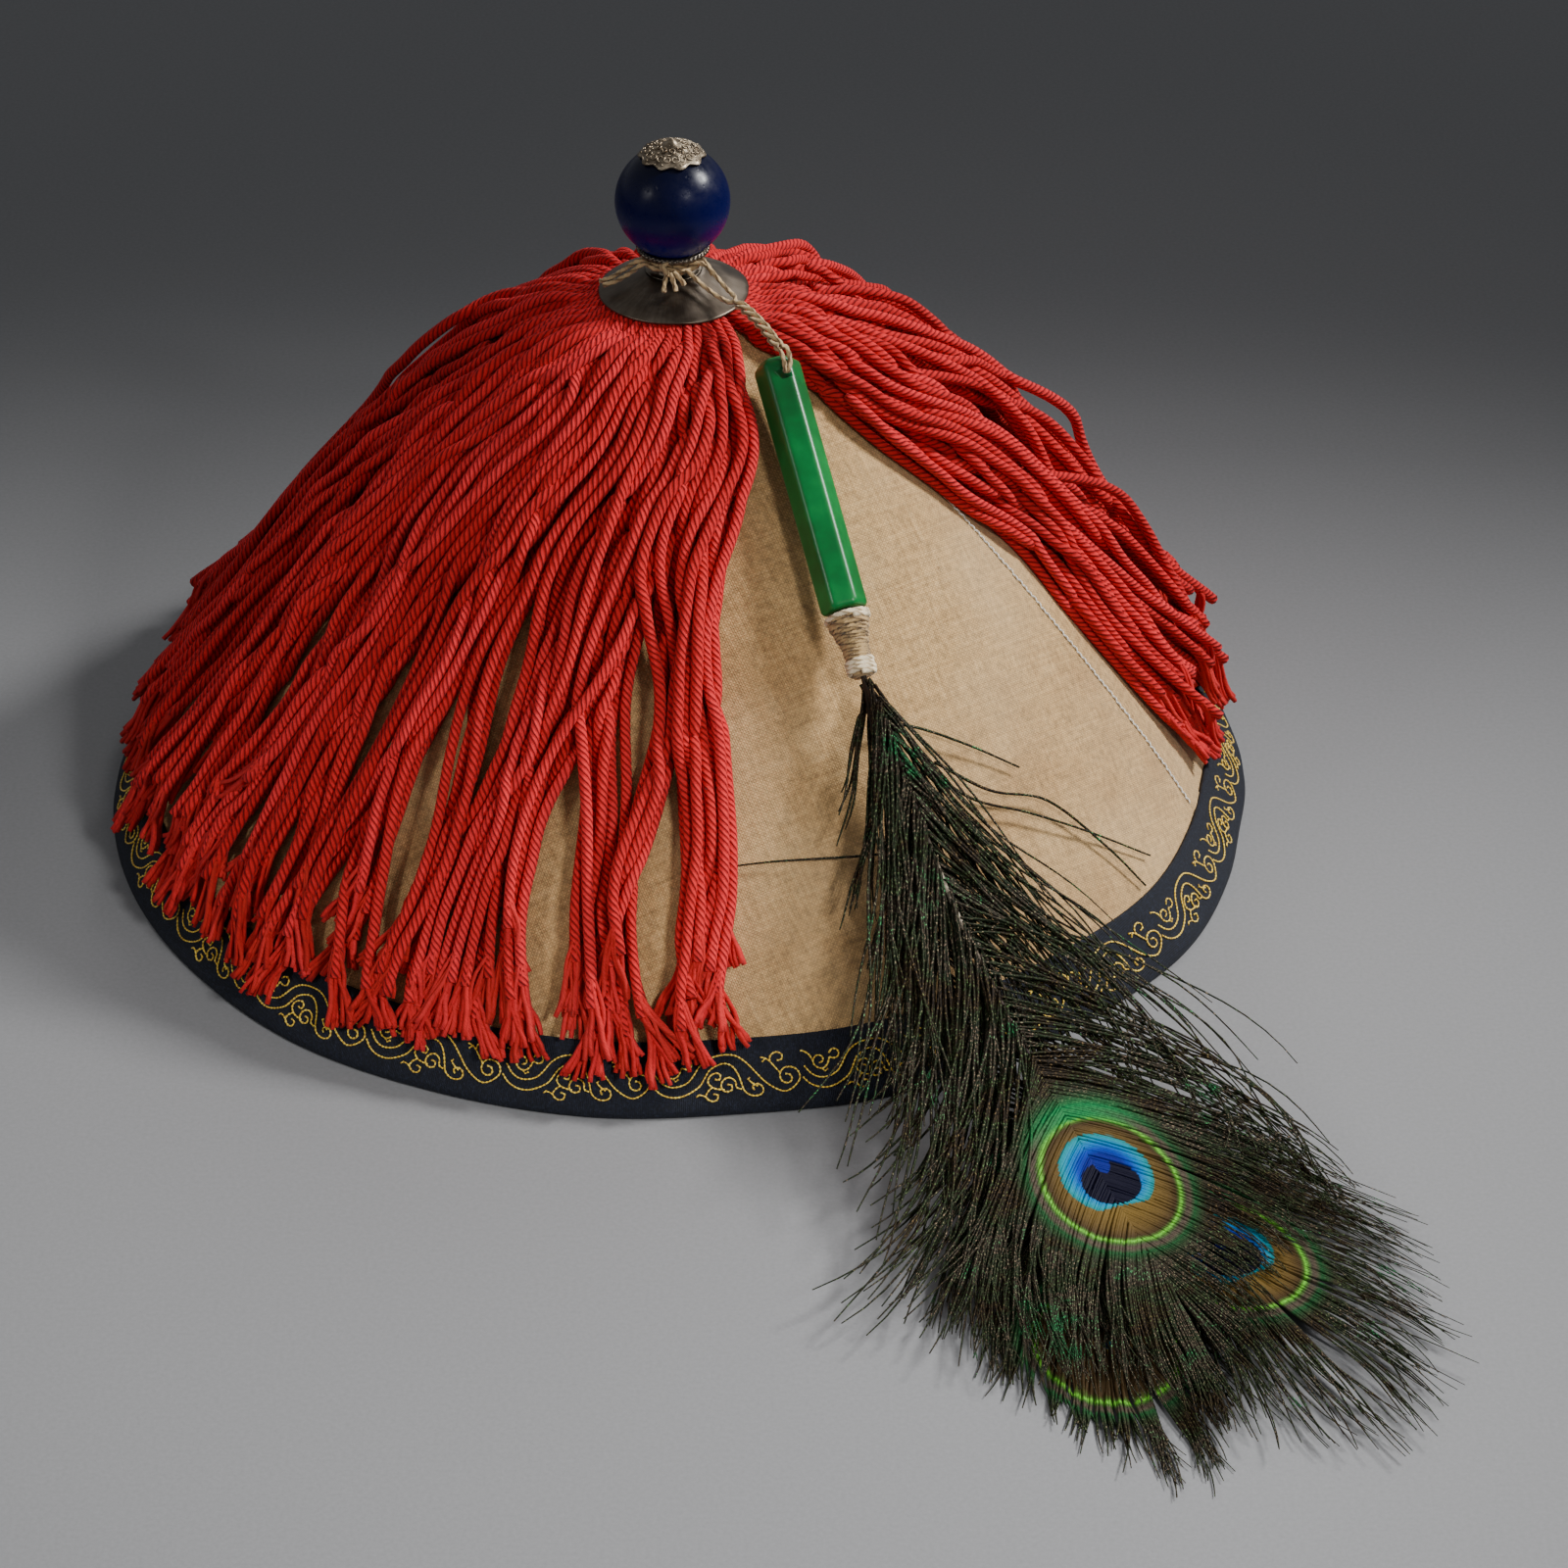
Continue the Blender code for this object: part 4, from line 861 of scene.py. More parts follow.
SCROLL_REPEATS = 25
SCROLL_START = -106.3
SCROLL_LENGTH = 37.7
SCROLL = (
    ((0.7, 10.7), (2.3, 12.4), (4.6, 13.5), (7.2, 13.7), (9.8, 12.9), (12.4, 11.3), (13.7, 9.4), (15.0, 7.5),
     (17.0, 6.4), (19.0, 6.0), (20.9, 6.9), (22.2, 8.9), (22.9, 11.0), (23.5, 12.9), (25.0, 14.1), (26.8, 14.3),
     (28.1, 13.6), (28.1, 12.2), (26.8, 11.4), (25.6, 12.0), (26.1, 13.0)),
    ((1.3, 8.0), (2.9, 10.0), (4.9, 11.1), (7.2, 11.1), (9.5, 10.2), (11.1, 8.4), (12.7, 6.2), (15.0, 4.6),
     (18.3, 3.9), (21.6, 4.2), (24.2, 5.9), (26.5, 8.4), (28.8, 11.0), (31.4, 12.9), (33.7, 13.7), (35.9, 12.8),
     (37.6, 10.9), (37.3, 9.0), (35.9, 8.0), (33.9, 8.0), (32.7, 9.4), (33.0, 11.1), (34.4, 11.8), (35.6, 11.1),
     (35.3, 9.8), (34.1, 9.5)),
    ((26.9, 12.0), (25.5, 11.1), (24.6, 10.1), (25.1, 9.7)),
    ((22.9, 12.5), (21.6, 12.0), (21.4, 10.5), (19.9, 9.5), (18.3, 10.2), (17.8, 11.7), (18.8, 12.9),
     (20.4, 12.6), (20.4, 11.4), (19.3, 11.2)),
    ((18.6, 12.4), (17.0, 12.2), (15.6, 11.7), (14.5, 10.4), (15.2, 8.8), (16.9, 8.2), (17.8, 9.0),
     (17.3, 10.0), (16.3, 9.7)),
    ((15.6, 11.7), (14.5, 12.6), (13.9, 13.9), (15.2, 15.0), (16.6, 14.8), (16.9, 13.6), (15.8, 13.3)),
    ((13.9, 13.9), (12.4, 13.3), (11.5, 13.9)),
    ((32.7, 9.0), (31.5, 7.5), (30.4, 6.1), (29.4, 5.4), (28.1, 5.0)),
    ((29.4, 5.4), (28.5, 6.2)),
    ((30.4, 6.1), (30.8, 4.7), (32.3, 4.0), (33.7, 4.7), (33.5, 5.9), (32.3, 6.1)),
    ((8.0, 6.6), (9.4, 7.0), (10.5, 6.3), (10.3, 5.0), (8.9, 4.7), (8.0, 5.6)),
    ((8.0, 6.6), (7.2, 8.3), (5.8, 9.1), (4.2, 8.4), (3.7, 7.0), (4.7, 5.8), (6.1, 6.1), (6.3, 7.3), (5.2, 7.7)),
    ((5.8, 9.1), (6.5, 9.9), (7.2, 9.3)),
    ((3.7, 7.0), (3.0, 5.5), (1.8, 4.5), (0.8, 4.2)),
)


def build_scroll():
    """Gold thread in short stitches. Each line is (along the rim, down the ribbon) in mm."""
    pile = Pile()
    for repeat in range(SCROLL_REPEATS):
        for line in SCROLL:
            flat = smooth_path(line, 5)
            run = distances(flat)
            count = max(3, int(run[-1] / 0.55))
            even = np.linspace(0, run[-1], count)
            x = np.interp(even, run, flat[:, 0])
            y = np.interp(even, run, flat[:, 1])
            azimuth = SCROLL_START + 360 / SCROLL_REPEATS * (repeat + x / SCROLL_LENGTH)
            radius = BAND_TOP + (CROWN_EDGE - BAND_TOP) * (y * MM / BAND_WIDTH)
            path = crown_point(azimuth, radius, GAP + BAND_WALL + 0.10 * MM)
            girth = np.where(np.arange(count) % 2, 0.17, 0.29) * MM
            strand(pile, path, girth, sides=4)
    return pile.make("ribbon_scroll", GOLD, "navy_ribbon")


# Cords of the mantle

def mantle_edges(radius):
    """Azimuths between which the mantle lies, round the back of the hat."""
    share = radius / RIM_RADIUS
    return along(FRINGE_EDGES, share, 1), along(FRINGE_EDGES, share, 2) + 360


def settle(turn, lift, radius, edges, girth):
    """Push cords apart where they touch, station by station, and keep them on the crown."""
    floor = girth / 2 + 0.4 * MM
    turn, lift, radius, girth = (np.asarray(v, np.float32) for v in (turn, lift, radius, girth))
    for _ in range(24):
        across = (turn[:, None, :] - turn[None, :, :]) * radius
        up = lift[:, None, :] - lift[None, :, :]
        apart = np.hypot(across, up) + 1e-9
        wanted = (girth[:, None, :] + girth[None, :, :]) / 2
        push = np.clip(wanted - apart, 0, None) / apart * 0.28
        idle = np.eye(len(turn), dtype=bool)
        push[idle] = 0
        turn = turn + np.clip((push * across).sum(1), -0.9 * MM, 0.9 * MM) / radius
        lift = lift + np.clip((push * up).sum(1), -0.9 * MM, 0.9 * MM)
        for values in (turn, lift):
            values[:, 1:-1] += 0.16 * (0.5 * (values[:, :-2] + values[:, 2:]) - values[:, 1:-1])
        lift = np.maximum(lift, floor)
        turn = np.clip(turn, np.radians(edges[0]), np.radians(edges[1]))
    return turn, lift


def cord_runs():
    """Azimuth, lift and girth of every cord at common radii, and where it starts and ends."""
    generator = np.random.default_rng(21)
    share = np.linspace(0, 1, 400)
    weight = np.cumsum(along(CORD_SPREAD, MANTLE_START + share * MANTLE_SPAN, 1))
    even = (np.arange(CORDS) + generator.uniform(0.1, 0.9, CORDS)) / CORDS
    across = np.clip(np.interp(even, weight / weight[-1], share), 0.002, 0.998)
    at_rim = MANTLE_START + across * MANTLE_SPAN
    tip = along(MANTLE_ROUND, at_rim, 2) * CROWN_EDGE + generator.normal(-3.0, 4.0, CORDS) * MM
    short = generator.uniform(0, 1, CORDS) < 0.12
    tip = np.where(short, tip - generator.uniform(4, 16, CORDS) * MM, tip)
    tip = np.clip(tip, 0.80 * CROWN_EDGE, CROWN_EDGE)
    tip_start = tip - TUFT_LENGTH * 0.62
    place = np.linspace(0, 1, CORD_STATIONS)
    common = CORD_HEAD + (CROWN_EDGE * 0.985 - CORD_HEAD) * place
    right, left = mantle_edges(common)
    wander = waves(generator)
    spread = ease(place / 0.6)[None, :] * 4.6 * MM + 0.5 * MM
    turn = np.radians(right + (left - right) * across[:, None]) + wander * spread / common[None, :]
    drift = np.zeros_like(turn)
    for rounds, runs in ((9, 0.9), (17, 1.4), (26, 2.1), (34, 0.6)):
        drift += np.sin(math.tau * (rounds * across[:, None] + runs * place[None, :])
                        + generator.uniform(0, 6.3))
    turn += drift * 2.7 * MM * ease((place - 0.15) / 0.5)[None, :] / common[None, :]
    lock = np.round(across * CORDS / LOCK_OF_CORDS + generator.normal(0, 0.22, CORDS))
    pull = 0.68 * ease((place - 0.22) / 0.40)[None, :]
    for number in np.unique(lock):
        members = lock == number
        turn[members] += (turn[members].mean(0) - turn[members]) * pull
    layer = generator.uniform(0, 1, (CORDS, 1)) + 0.28 * waves(generator)
    depth = along(MANTLE_DEPTH, common / RIM_RADIUS, 1)[None, :]
    fuller = along(MANTLE_ROUND, np.degrees(turn), 1) ** ease((place - 0.1) / 0.2)[None, :]
    girth = CORD_DIAMETER * along(CORD_GIRTH, place, 1)[None, :]
    girth = girth * generator.uniform(0.92, 1.06, (CORDS, 1))
    buried = layer.mean(1) < 0.60
    head = np.where(buried, generator.uniform(20, 46, CORDS), 9) * MM
    girth = np.where(common[None, :] < head[:, None], 0.15 * MM, girth)
    lift = girth / 2 + np.clip(layer, 0, 1) * np.maximum(depth * fuller - girth, 0)
    turn, lift = settle(turn, lift, common[None, :], (right, left), girth)
    under_disc = 5.4 * MM + 40 * MM * ease((common - 19 * MM) / (22 * MM))
    lift = np.minimum(lift, under_disc[None, :] - girth / 2)
    return common, turn, lift, girth, head, tip_start, at_rim, generator


def arch_some(common, lift, at_rim):
    """A few cords stand up in loops over the right shoulder, as stiff cotton does."""
    share = common / RIM_RADIUS
    for azimuth, centre, width, height in CORD_ARCHES:
        near = np.argsort(np.abs(at_rim - azimuth))[:6]
        chosen = near[np.argmax(lift[near].mean(1))]
        lift[chosen] += height * MM * np.exp(-((share - centre) / width) ** 2)
    return lift


def build_cords():
    """Makes the cords, in three piles, and returns their ends for the tufts."""
    common, turn, lift, girth, head, tip_start, at_rim, generator = cord_runs()
    lift = arch_some(common, lift, at_rim)
    band_rise = (BAND_WALL + GAP) * ease((common - BAND_TOP + 15 * MM) / (15 * MM))
    ends = []
    piles = [Pile() for _ in range(3)]
    for cord in range(CORDS):
        radius = np.linspace(head[cord], tip_start[cord], CORD_STATIONS)
        azimuth = np.degrees(np.interp(radius, common, turn[cord]))
        rise = np.interp(radius, common, lift[cord] + band_rise)
        stand = along(MANTLE_ROUND, at_rim[cord], 3) * generator.uniform(0.2, 1.1)
        rise = rise + stand * ease((radius / CROWN_EDGE - 0.72) / 0.28)
        path = crown_point(azimuth, radius, rise)
        above = crown_point(azimuth, radius, rise + MM)
        normal = unit(above - path)
        thick = np.interp(radius, common, np.maximum(girth[cord], 0.9 * MM)) / 2
        tone = generator.uniform(0.2, 0.95)
        strand(piles[cord * 3 // CORDS], path, thick, sides=CORD_SIDES, mark=(0.0, tone),
               normal=normal)
        ends.append((path, normal[-1], rise[-1], thick[-1], tone))
    for number, pile in enumerate(piles):
        made = pile.make(f"cords_{number + 1}", CORD, "red_cord")
        if number == 0:
            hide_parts("cord_fringe")
    return ends, generator


def build_tufts(ends, generator):
    """Untwisted yarns at the cords' ends, fanned out over the linen and the ribbon."""
    piles = [Pile() for _ in range(2)]
    steps = np.linspace(0, 1, 9)
    swell = np.array((1.0, 0.95, 0.95, 1, 1.05, 1.1, 1.12, 1.1, 1.0))
    for number, (path, normal, rise, thick, tone) in enumerate(ends):
        flow = unit(path[-1] - path[-6])
        side = unit(np.cross(flow, normal))
        lean = generator.normal(0, 0.2)
        fan = generator.uniform(3.0, 6.2) * MM
        rest = generator.uniform(1.8, 4.0) * MM
        long = TUFT_LENGTH * generator.uniform(0.80, 1.15)
        for yarn in range(YARNS):
            place = (yarn + 0.5) / YARNS * 2 - 1
            turn = math.tau * yarn / YARNS * 1.7
            length = long * generator.uniform(0.90, 1.05)
            start = path[-3] + (side * math.cos(turn) + normal * math.sin(turn)) * thick * 0.62
            spread = fan * place + generator.normal(0, 0.5) * MM
            curl = generator.normal(0, 0.7) * MM
            crimp = 0.28 * MM * np.sin(steps * 13 + generator.uniform(0, 6.3)) * steps
            out = ((lean * length + spread) * steps ** 1.2 + crimp
                   + curl * np.sin(steps * math.pi * 1.6))
            down = -(rise - rest) * ease(steps) * 0.8 + generator.uniform(-0.8, 0.8) * MM * steps
            line = start + np.stack([length * steps, out, down], -1) @ np.stack([flow, side, normal])
            line[:, 2] = np.maximum(line[:, 2], 0.8 * MM)
            reach = np.hypot(line[:, 0], line[:, 1])
            skin = crown_rise(np.minimum(reach, CROWN_EDGE)) + 2.2 * MM
            line[:, 2] = np.where(reach < CROWN_EDGE, np.maximum(line[:, 2], skin), line[:, 2])
            strand(piles[number % 2], line, generator.uniform(0.56, 0.70) * MM * swell, sides=4,
                   mark=(generator.uniform(0, 0.10), min(1, tone * generator.uniform(0.8, 1.25))))
    for number, pile in enumerate(piles):
        pile.make(f"tufts_{number + 1}", YARN, "red_cord")


# Finial

def ball_profile(count, radius):
    """Half circle of a small ball of metal, from one pole to the other."""
    turns = np.linspace(0.01, math.pi - 0.01, count)
    return [(radius * math.sin(a), radius * math.cos(a)) for a in turns]


def build_disc():
    waist = (DISC_RADIUS + DISC_HUB_RADIUS) / 2
    waist_height = DISC_RIM_HEIGHT + 0.44 * DISC_RISE
    inner_edge = DISC_RADIUS - 0.3 * MM
    underside = DISC_TOP - DISC_THICKNESS
    top = [(POST_HOLE, underside), (POST_HOLE, DISC_TOP), (DISC_HUB_RADIUS, DISC_TOP)]
    curve = smooth_path([(DISC_HUB_RADIUS, DISC_TOP), (waist, waist_height),
                         (inner_edge, DISC_RIM_HEIGHT)], 8)
    lip = [(DISC_RADIUS, DISC_RIM_HEIGHT - 0.25 * MM), (DISC_RADIUS, DISC_RIM_HEIGHT - 0.6 * MM),
           (inner_edge, DISC_RIM_HEIGHT - DISC_THICKNESS)]
    under = [(waist, waist_height - DISC_THICKNESS), (DISC_HUB_RADIUS, underside),
             (POST_HOLE, underside)]

    def hammered(angle, radius, height):
        edge = ease((radius / DISC_RADIUS - 0.3) / 0.7)
        return radius, height + edge * 0.16 * MM * (np.sin(3 * angle + 1) + 0.6 * np.sin(7 * angle))

    pile = Pile()
    lathe(pile, np.concatenate([top, curve[1:], lip, under]), 120, hammered)
    made = pile.make("patinated_disc", DISC_METAL, "patinated_metal")
    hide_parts("base_disc")


def build_collar():
    flare = COLLAR_TOP - 1.5 * MM
    foot = (DISC_HUB_RADIUS - GAP, COLLAR_BOTTOM)
    outer = smooth_path([foot, (COLLAR_WAIST_RADIUS, COLLAR_BOTTOM + 0.8 * MM),
                         (COLLAR_WAIST_RADIUS, flare - 0.9 * MM), (COLLAR_FLARE_RADIUS, flare),
                         (COLLAR_FLARE_RADIUS, COLLAR_TOP - 0.3 * MM)], 5)
    cup = [(r, BALL_CENTRE - math.sqrt(CUP_RADIUS ** 2 - r ** 2))
           for r in np.linspace(CUP_LIP, POST_HOLE, 8)]
    bore = [(POST_HOLE, COLLAR_BOTTOM)]
    pile = Pile()
    lathe(pile, np.concatenate([bore, outer, cup, bore]), 96)
    for turn in math.tau * np.arange(COLLAR_BEADS) / COLLAR_BEADS:
        centre = around(COLLAR_FLARE_RADIUS + 0.05 * MM, turn, COLLAR_TOP - 0.7 * MM)
        lathe(pile, ball_profile(6, 0.62 * MM), 8, frame_of=lambda rings: rings + centre)
    made = pile.make("beaded_collar", DARK_SILVER, "tarnished_silver")
    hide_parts("finial_collar")


def build_ball():
    first = math.asin(POST_HOLE / BALL_RADIUS)
    profile = [(BALL_RADIUS * math.sin(a), BALL_CENTRE + BALL_RADIUS * math.cos(a))
               for a in np.linspace(first, math.pi - first, 44)]
    bore = [(POST_HOLE, profile[-1][1])]

    def blown(angle, radius, height):
        uneven = 0.004 * np.sin(2 * angle + 0.7) + 0.002 * np.sin(5 * angle)
        return radius * (1 + radius / BALL_RADIUS * uneven), height

    pile = Pile()
    lathe(pile, bore + profile + bore, 88, blown)
    made = pile.make("cobalt_ball", COBALT, "blue_glass")
    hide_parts("finial_ball")


def ball_rise(radius, offset=0.0):
    """Height of the cap's seat on the ball, raised by an offset."""
    sphere = BALL_RADIUS + GAP + offset
    return BALL_CENTRE + np.sqrt(np.maximum(sphere ** 2 - radius ** 2, 0))


def cap_swell(radius):
    return max(1 - radius / CAP_RADIUS, 0) ** 2 * 0.9 * MM


def cap_point(radius, turn, out):
    return around(radius, turn, ball_rise(radius, out) + cap_swell(radius))


def cap_curl(pile, turn, x, y, girth):
    """Raised wire on the cap. x and y lie in its plane, x outwards at the turn."""
    path = [cap_point(math.hypot(a, b), turn + math.atan2(b, a), 0.62 * MM) for a, b in zip(x, y)]
    strand(pile, path, girth, sides=5)


def build_cap():
    crest = ball_rise(0) + CAP_WALL + CAP_TIP_HEIGHT + 0.2 * MM
    outer = []
    for radius in np.concatenate([[0.02 * MM], np.linspace(0.10, 1.0, 16) * CAP_RADIUS]):
        tip = 1.6 * MM * math.exp(-(radius / (0.15 * CAP_RADIUS)) ** 1.4)
        height = ball_rise(radius, 0.5 * CAP_WALL) + cap_swell(radius) + tip
        outer.append((radius, min(height, crest)))
    inner = [(radius, ball_rise(radius)) for radius in (CAP_RADIUS, 0.5 * CAP_RADIUS)]
    inner.append((0.02 * MM, ball_rise(0)))

    def petal_wave(angle):
        return (1 - np.cos(CAP_PETALS * angle)) / 2

    def petal(angle, radius, height):
        share = radius / CAP_RADIUS
        wave = petal_wave(angle)
        shorter = radius * (1 - PETAL_DEPTH * wave * ease((share - 0.7) / 0.3))
        ridge = 0.22 * MM * (1 - wave) * ease((share - 0.3) / 0.3)
        return shorter, height + ball_rise(shorter) - ball_rise(radius) + ridge

    pile = Pile()
    lathe(pile, outer + inner, 160, petal)
    for turn in math.tau * np.arange(CAP_PETALS) / CAP_PETALS:
        t = np.linspace(0, 1, 16)
        for hand in (-1, 1):
            swing = hand * (0.15 + math.tau * 1.15 * t) + math.pi * 0.9
            reach = 1.25 * MM * (1 - 0.70 * t)
            cap_curl(pile, turn, 0.70 * CAP_RADIUS + reach * np.cos(swing),
                     hand * 0.95 * MM + reach * np.sin(swing), 0.21 * MM)
        t = np.linspace(0, 1, 14)
        swing = math.tau * 1.1 * t
        reach = 0.95 * MM * (1 - 0.65 * t)
        cap_curl(pile, turn + math.pi / CAP_PETALS, 0.40 * CAP_RADIUS + reach * np.cos(swing),
                 reach * np.sin(swing), 0.20 * MM)
        for share, size in ((0.90, 0.26 * MM), (0.20, 0.22 * MM)):
            centre = cap_point(share * CAP_RADIUS, turn, 0.62 * MM)
            grain = [(size * math.sin(a) * 1.3, size * math.cos(a))
                     for a in np.linspace(0.01, math.pi, 5)]
            lathe(pile, grain, 7, frame_of=lambda rings: rings + centre)
    rim = [cap_point(CAP_RADIUS * (1 - PETAL_DEPTH * petal_wave(a)) - 0.1 * MM, a, 0.35 * MM)
           for a in np.linspace(0, math.tau, 161)]
    strand(pile, rim, 0.26 * MM, sides=6)
    made = pile.make("flower_cap", SILVER, "tarnished_silver")
    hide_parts("finial_cap")


# String

STRING_DIAMETER = 1.4 * MM
TIE_RADIUS = COLLAR_WAIST_RADIUS + GAP + STRING_DIAMETER / 2
TIE_BOTTOM = COLLAR_BOTTOM + 0.8 * MM + GAP

# The knot and the loose ends of the tie: steps of the curve, then its points as radius in mm,
# azimuth, and height above TIE_BOTTOM in mm
TIE_STRINGS = (
    (6, ((7.6, -112, 4.0), (9.4, -106, 3.6), (10.2, -98, 2.6), (9.6, -90, 1.6), (8.2, -84, 1.8),
         (7.6, -90, 3.2), (8.6, -98, 4.6), (9.8, -103, 4.2), (10.4, -96, 2.4))),
    (6, ((9.6, -96, 2.8), (10.4, -99, 1.6), (11.6, -100, -0.2), (12.8, -99.5, -1.4))),
    (6, ((9.8, -92, 2.6), (10.8, -90, 1.4), (11.8, -87, -0.2), (12.4, -86, -1.2))),
    (6, ((9.6, -88, 2.8), (10.4, -82, 1.8), (11.0, -77, 0.6), (11.2, -75, -0.2))),
    (8, ((7.8, -140, 3.6), (9.4, -150, 3.4), (11.8, -160, 1.4), (14.8, -168, -1.6),
         (17.6, -171, -3.2), (18.6, -172, -3.4))),
    (8, ((7.8, -134, 3.0), (9.2, -145, 2.6), (11.4, -154, 0.4), (14.0, -161, -1.9),
         (16.6, -164.5, -3.2), (18.0, -166, -3.7))),
    (8, ((7.8, -60, 3.4), (8.8, -48, 3.8), (10.2, -38, 3.0), (11.2, -34, 1.6), (11.8, -33, 0.4))),
)

# Two leads of the braid from the tie, in the same columns
BRAID_LEADS = (
    ((7.6, -28, 3.8), (10.0, -36, 3.4), (13.2, -36.5, 0.8), (17.2, -38.5, -1.4), (21.5, -42.5, -1.9)),
    ((8.4, -66, 2.4), (11.6, -55, -0.2), (15.6, -49, -2.2), (18.6, -47.5, -2.8), (21.8, -47.5, -2.6)),
)

# Points by the tube's hole, in mm: across, out of the hole's face, down the tube
BRAID_END = ((-0.4, 1.6, -1.2), (0, 1.4, 2.0), (0, 0.3, 4.7), (0, -2.4, 5.0))
BRAID_LOOP = ((1.6, 1.5, -0.4), (1.5, 1.2, 3.0), (0.6, 0.1, 5.0), (0.2, -2.2, 5.0))


def tie_point(radius, azimuth, height):
    return around(radius * MM, math.radians(azimuth), TIE_BOTTOM + height * MM)


def string_line(pile, points, steps, radius=0.68 * MM):
    twine(pile, smooth_path(points, steps), radius)


def twine(pile, path, radius):
    """Two ply string along a path."""
    strand(pile, path, radius, sides=10, lobes=2, depth=0.30, twist=STRING_TWIST)


def build_tie():
    pile = Pile()
    twine(pile, [tie_point(TIE_RADIUS / MM + 0.25 * math.sin(5 * t), -100 + 360 * t,
                           0.7 + t * 1.05 + 0.2 * math.sin(9 * t))
                 for t in np.linspace(0, 3.2, 120)], 0.70 * MM)
    for drop, wide in ((3.4, 0.9), (2.4, 1.5)):
        half = [tie_point(TIE_RADIUS / MM + wide, a, drop + 0.3 * math.sin(a / 9))
                for a in range(-165, -20, 12)]
        string_line(pile, half, 5)
    for steps, points in TIE_STRINGS:
        string_line(pile, [tie_point(*point) for point in points], steps)
    made = pile.make("hemp_tie", HEMP, "hemp_string")
    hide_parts("string_tie")


TUBE_HEAD = crown_point(TUBE_TOP[0], TUBE_TOP[1] * RIM_RADIUS, TUBE_TOP[2])
TUBE_AXIS = unit(crown_point(TUBE_FOOT[0], TUBE_FOOT[1] * RIM_RADIUS, TUBE_FOOT[2]) - TUBE_HEAD)
TUBE_SIDE = -unit(np.cross(TUBE_AXIS, (0, 0, 1.0)))
TUBE_FACE = np.cross(TUBE_AXIS, TUBE_SIDE)


def tube_frame(spots):
    """Points given across the tube, out of its face and down its axis."""
    return TUBE_HEAD + np.asarray(spots, float) @ np.stack([TUBE_SIDE, TUBE_FACE, TUBE_AXIS])


def build_braid():
    """Two strands from the tie, which cross into a braid and end in the tube's hole."""
    pile = Pile()
    face = (0, TUBE_WIDTH / 2, 0)
    end = tube_frame(np.array(BRAID_END) * MM + face)
    first = tie_point(21.8, -45.5, -2.2)
    middle = [first + (end[0] - first) * t + np.array((0, 0, 1.2 * MM * math.sin(math.pi * t)))
              for t in (0.33, 0.66)]
    core = smooth_path([first] + middle + [end[0]], 16)
    tangent = unit(np.gradient(core, axis=0))
    out = unit(np.cross(tangent, np.cross((0.3, -0.6, 0.75), tangent)))
    side = np.cross(tangent, out)
    run = distances(core)
    fade = ease(run / (3 * MM))
    for number in range(3):
        phase = math.tau * (run / BRAID_PITCH + number / 3)
        weave = (core + side * (1.0 * MM * np.cos(phase) * fade)[:, None]
                 + out * (0.75 * MM * np.sin(phase) * fade)[:, None])
        if number < 2:
            lead = smooth_path([tie_point(*point) for point in BRAID_LEADS[number]], 10)
            weave = np.concatenate([lead[:-1], weave])
        else:
            weave = np.concatenate([weave, smooth_path(end, 6)[1:]])
        weave[1:-1] = 0.25 * weave[:-2] + 0.5 * weave[1:-1] + 0.25 * weave[2:]
        twine(pile, weave, 0.66 * MM)
    start = end[0] + np.array((0.6, 0, 0.2)) * MM
    string_line(pile, [start, *tube_frame(np.array(BRAID_LOOP) * MM + face)], 8)
    made = pile.make("hemp_braid", HEMP, "hemp_string")
    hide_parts("string_braid")


def tube_outline(half, edge):
    """Six sided outline with rounded edges."""
    slope = math.radians(30)
    outline = []
    for corner in range(6):
        direction = math.radians(60 * corner + TUBE_TURN)
        centre = around((half - edge) / math.cos(slope), direction, 0)[:2]
        for lean in direction + np.radians(np.linspace(-30, 30, 7)):
            outline.append(centre + around(edge, lean, 0)[:2])
        flat = 2 * (half - edge) * math.tan(slope)
        last = outline[-1]
        for share in (0.12, 0.5, 0.88):
            outline.append(last + around(flat * share, direction + math.radians(120), 0)[:2])
    return np.array(outline)


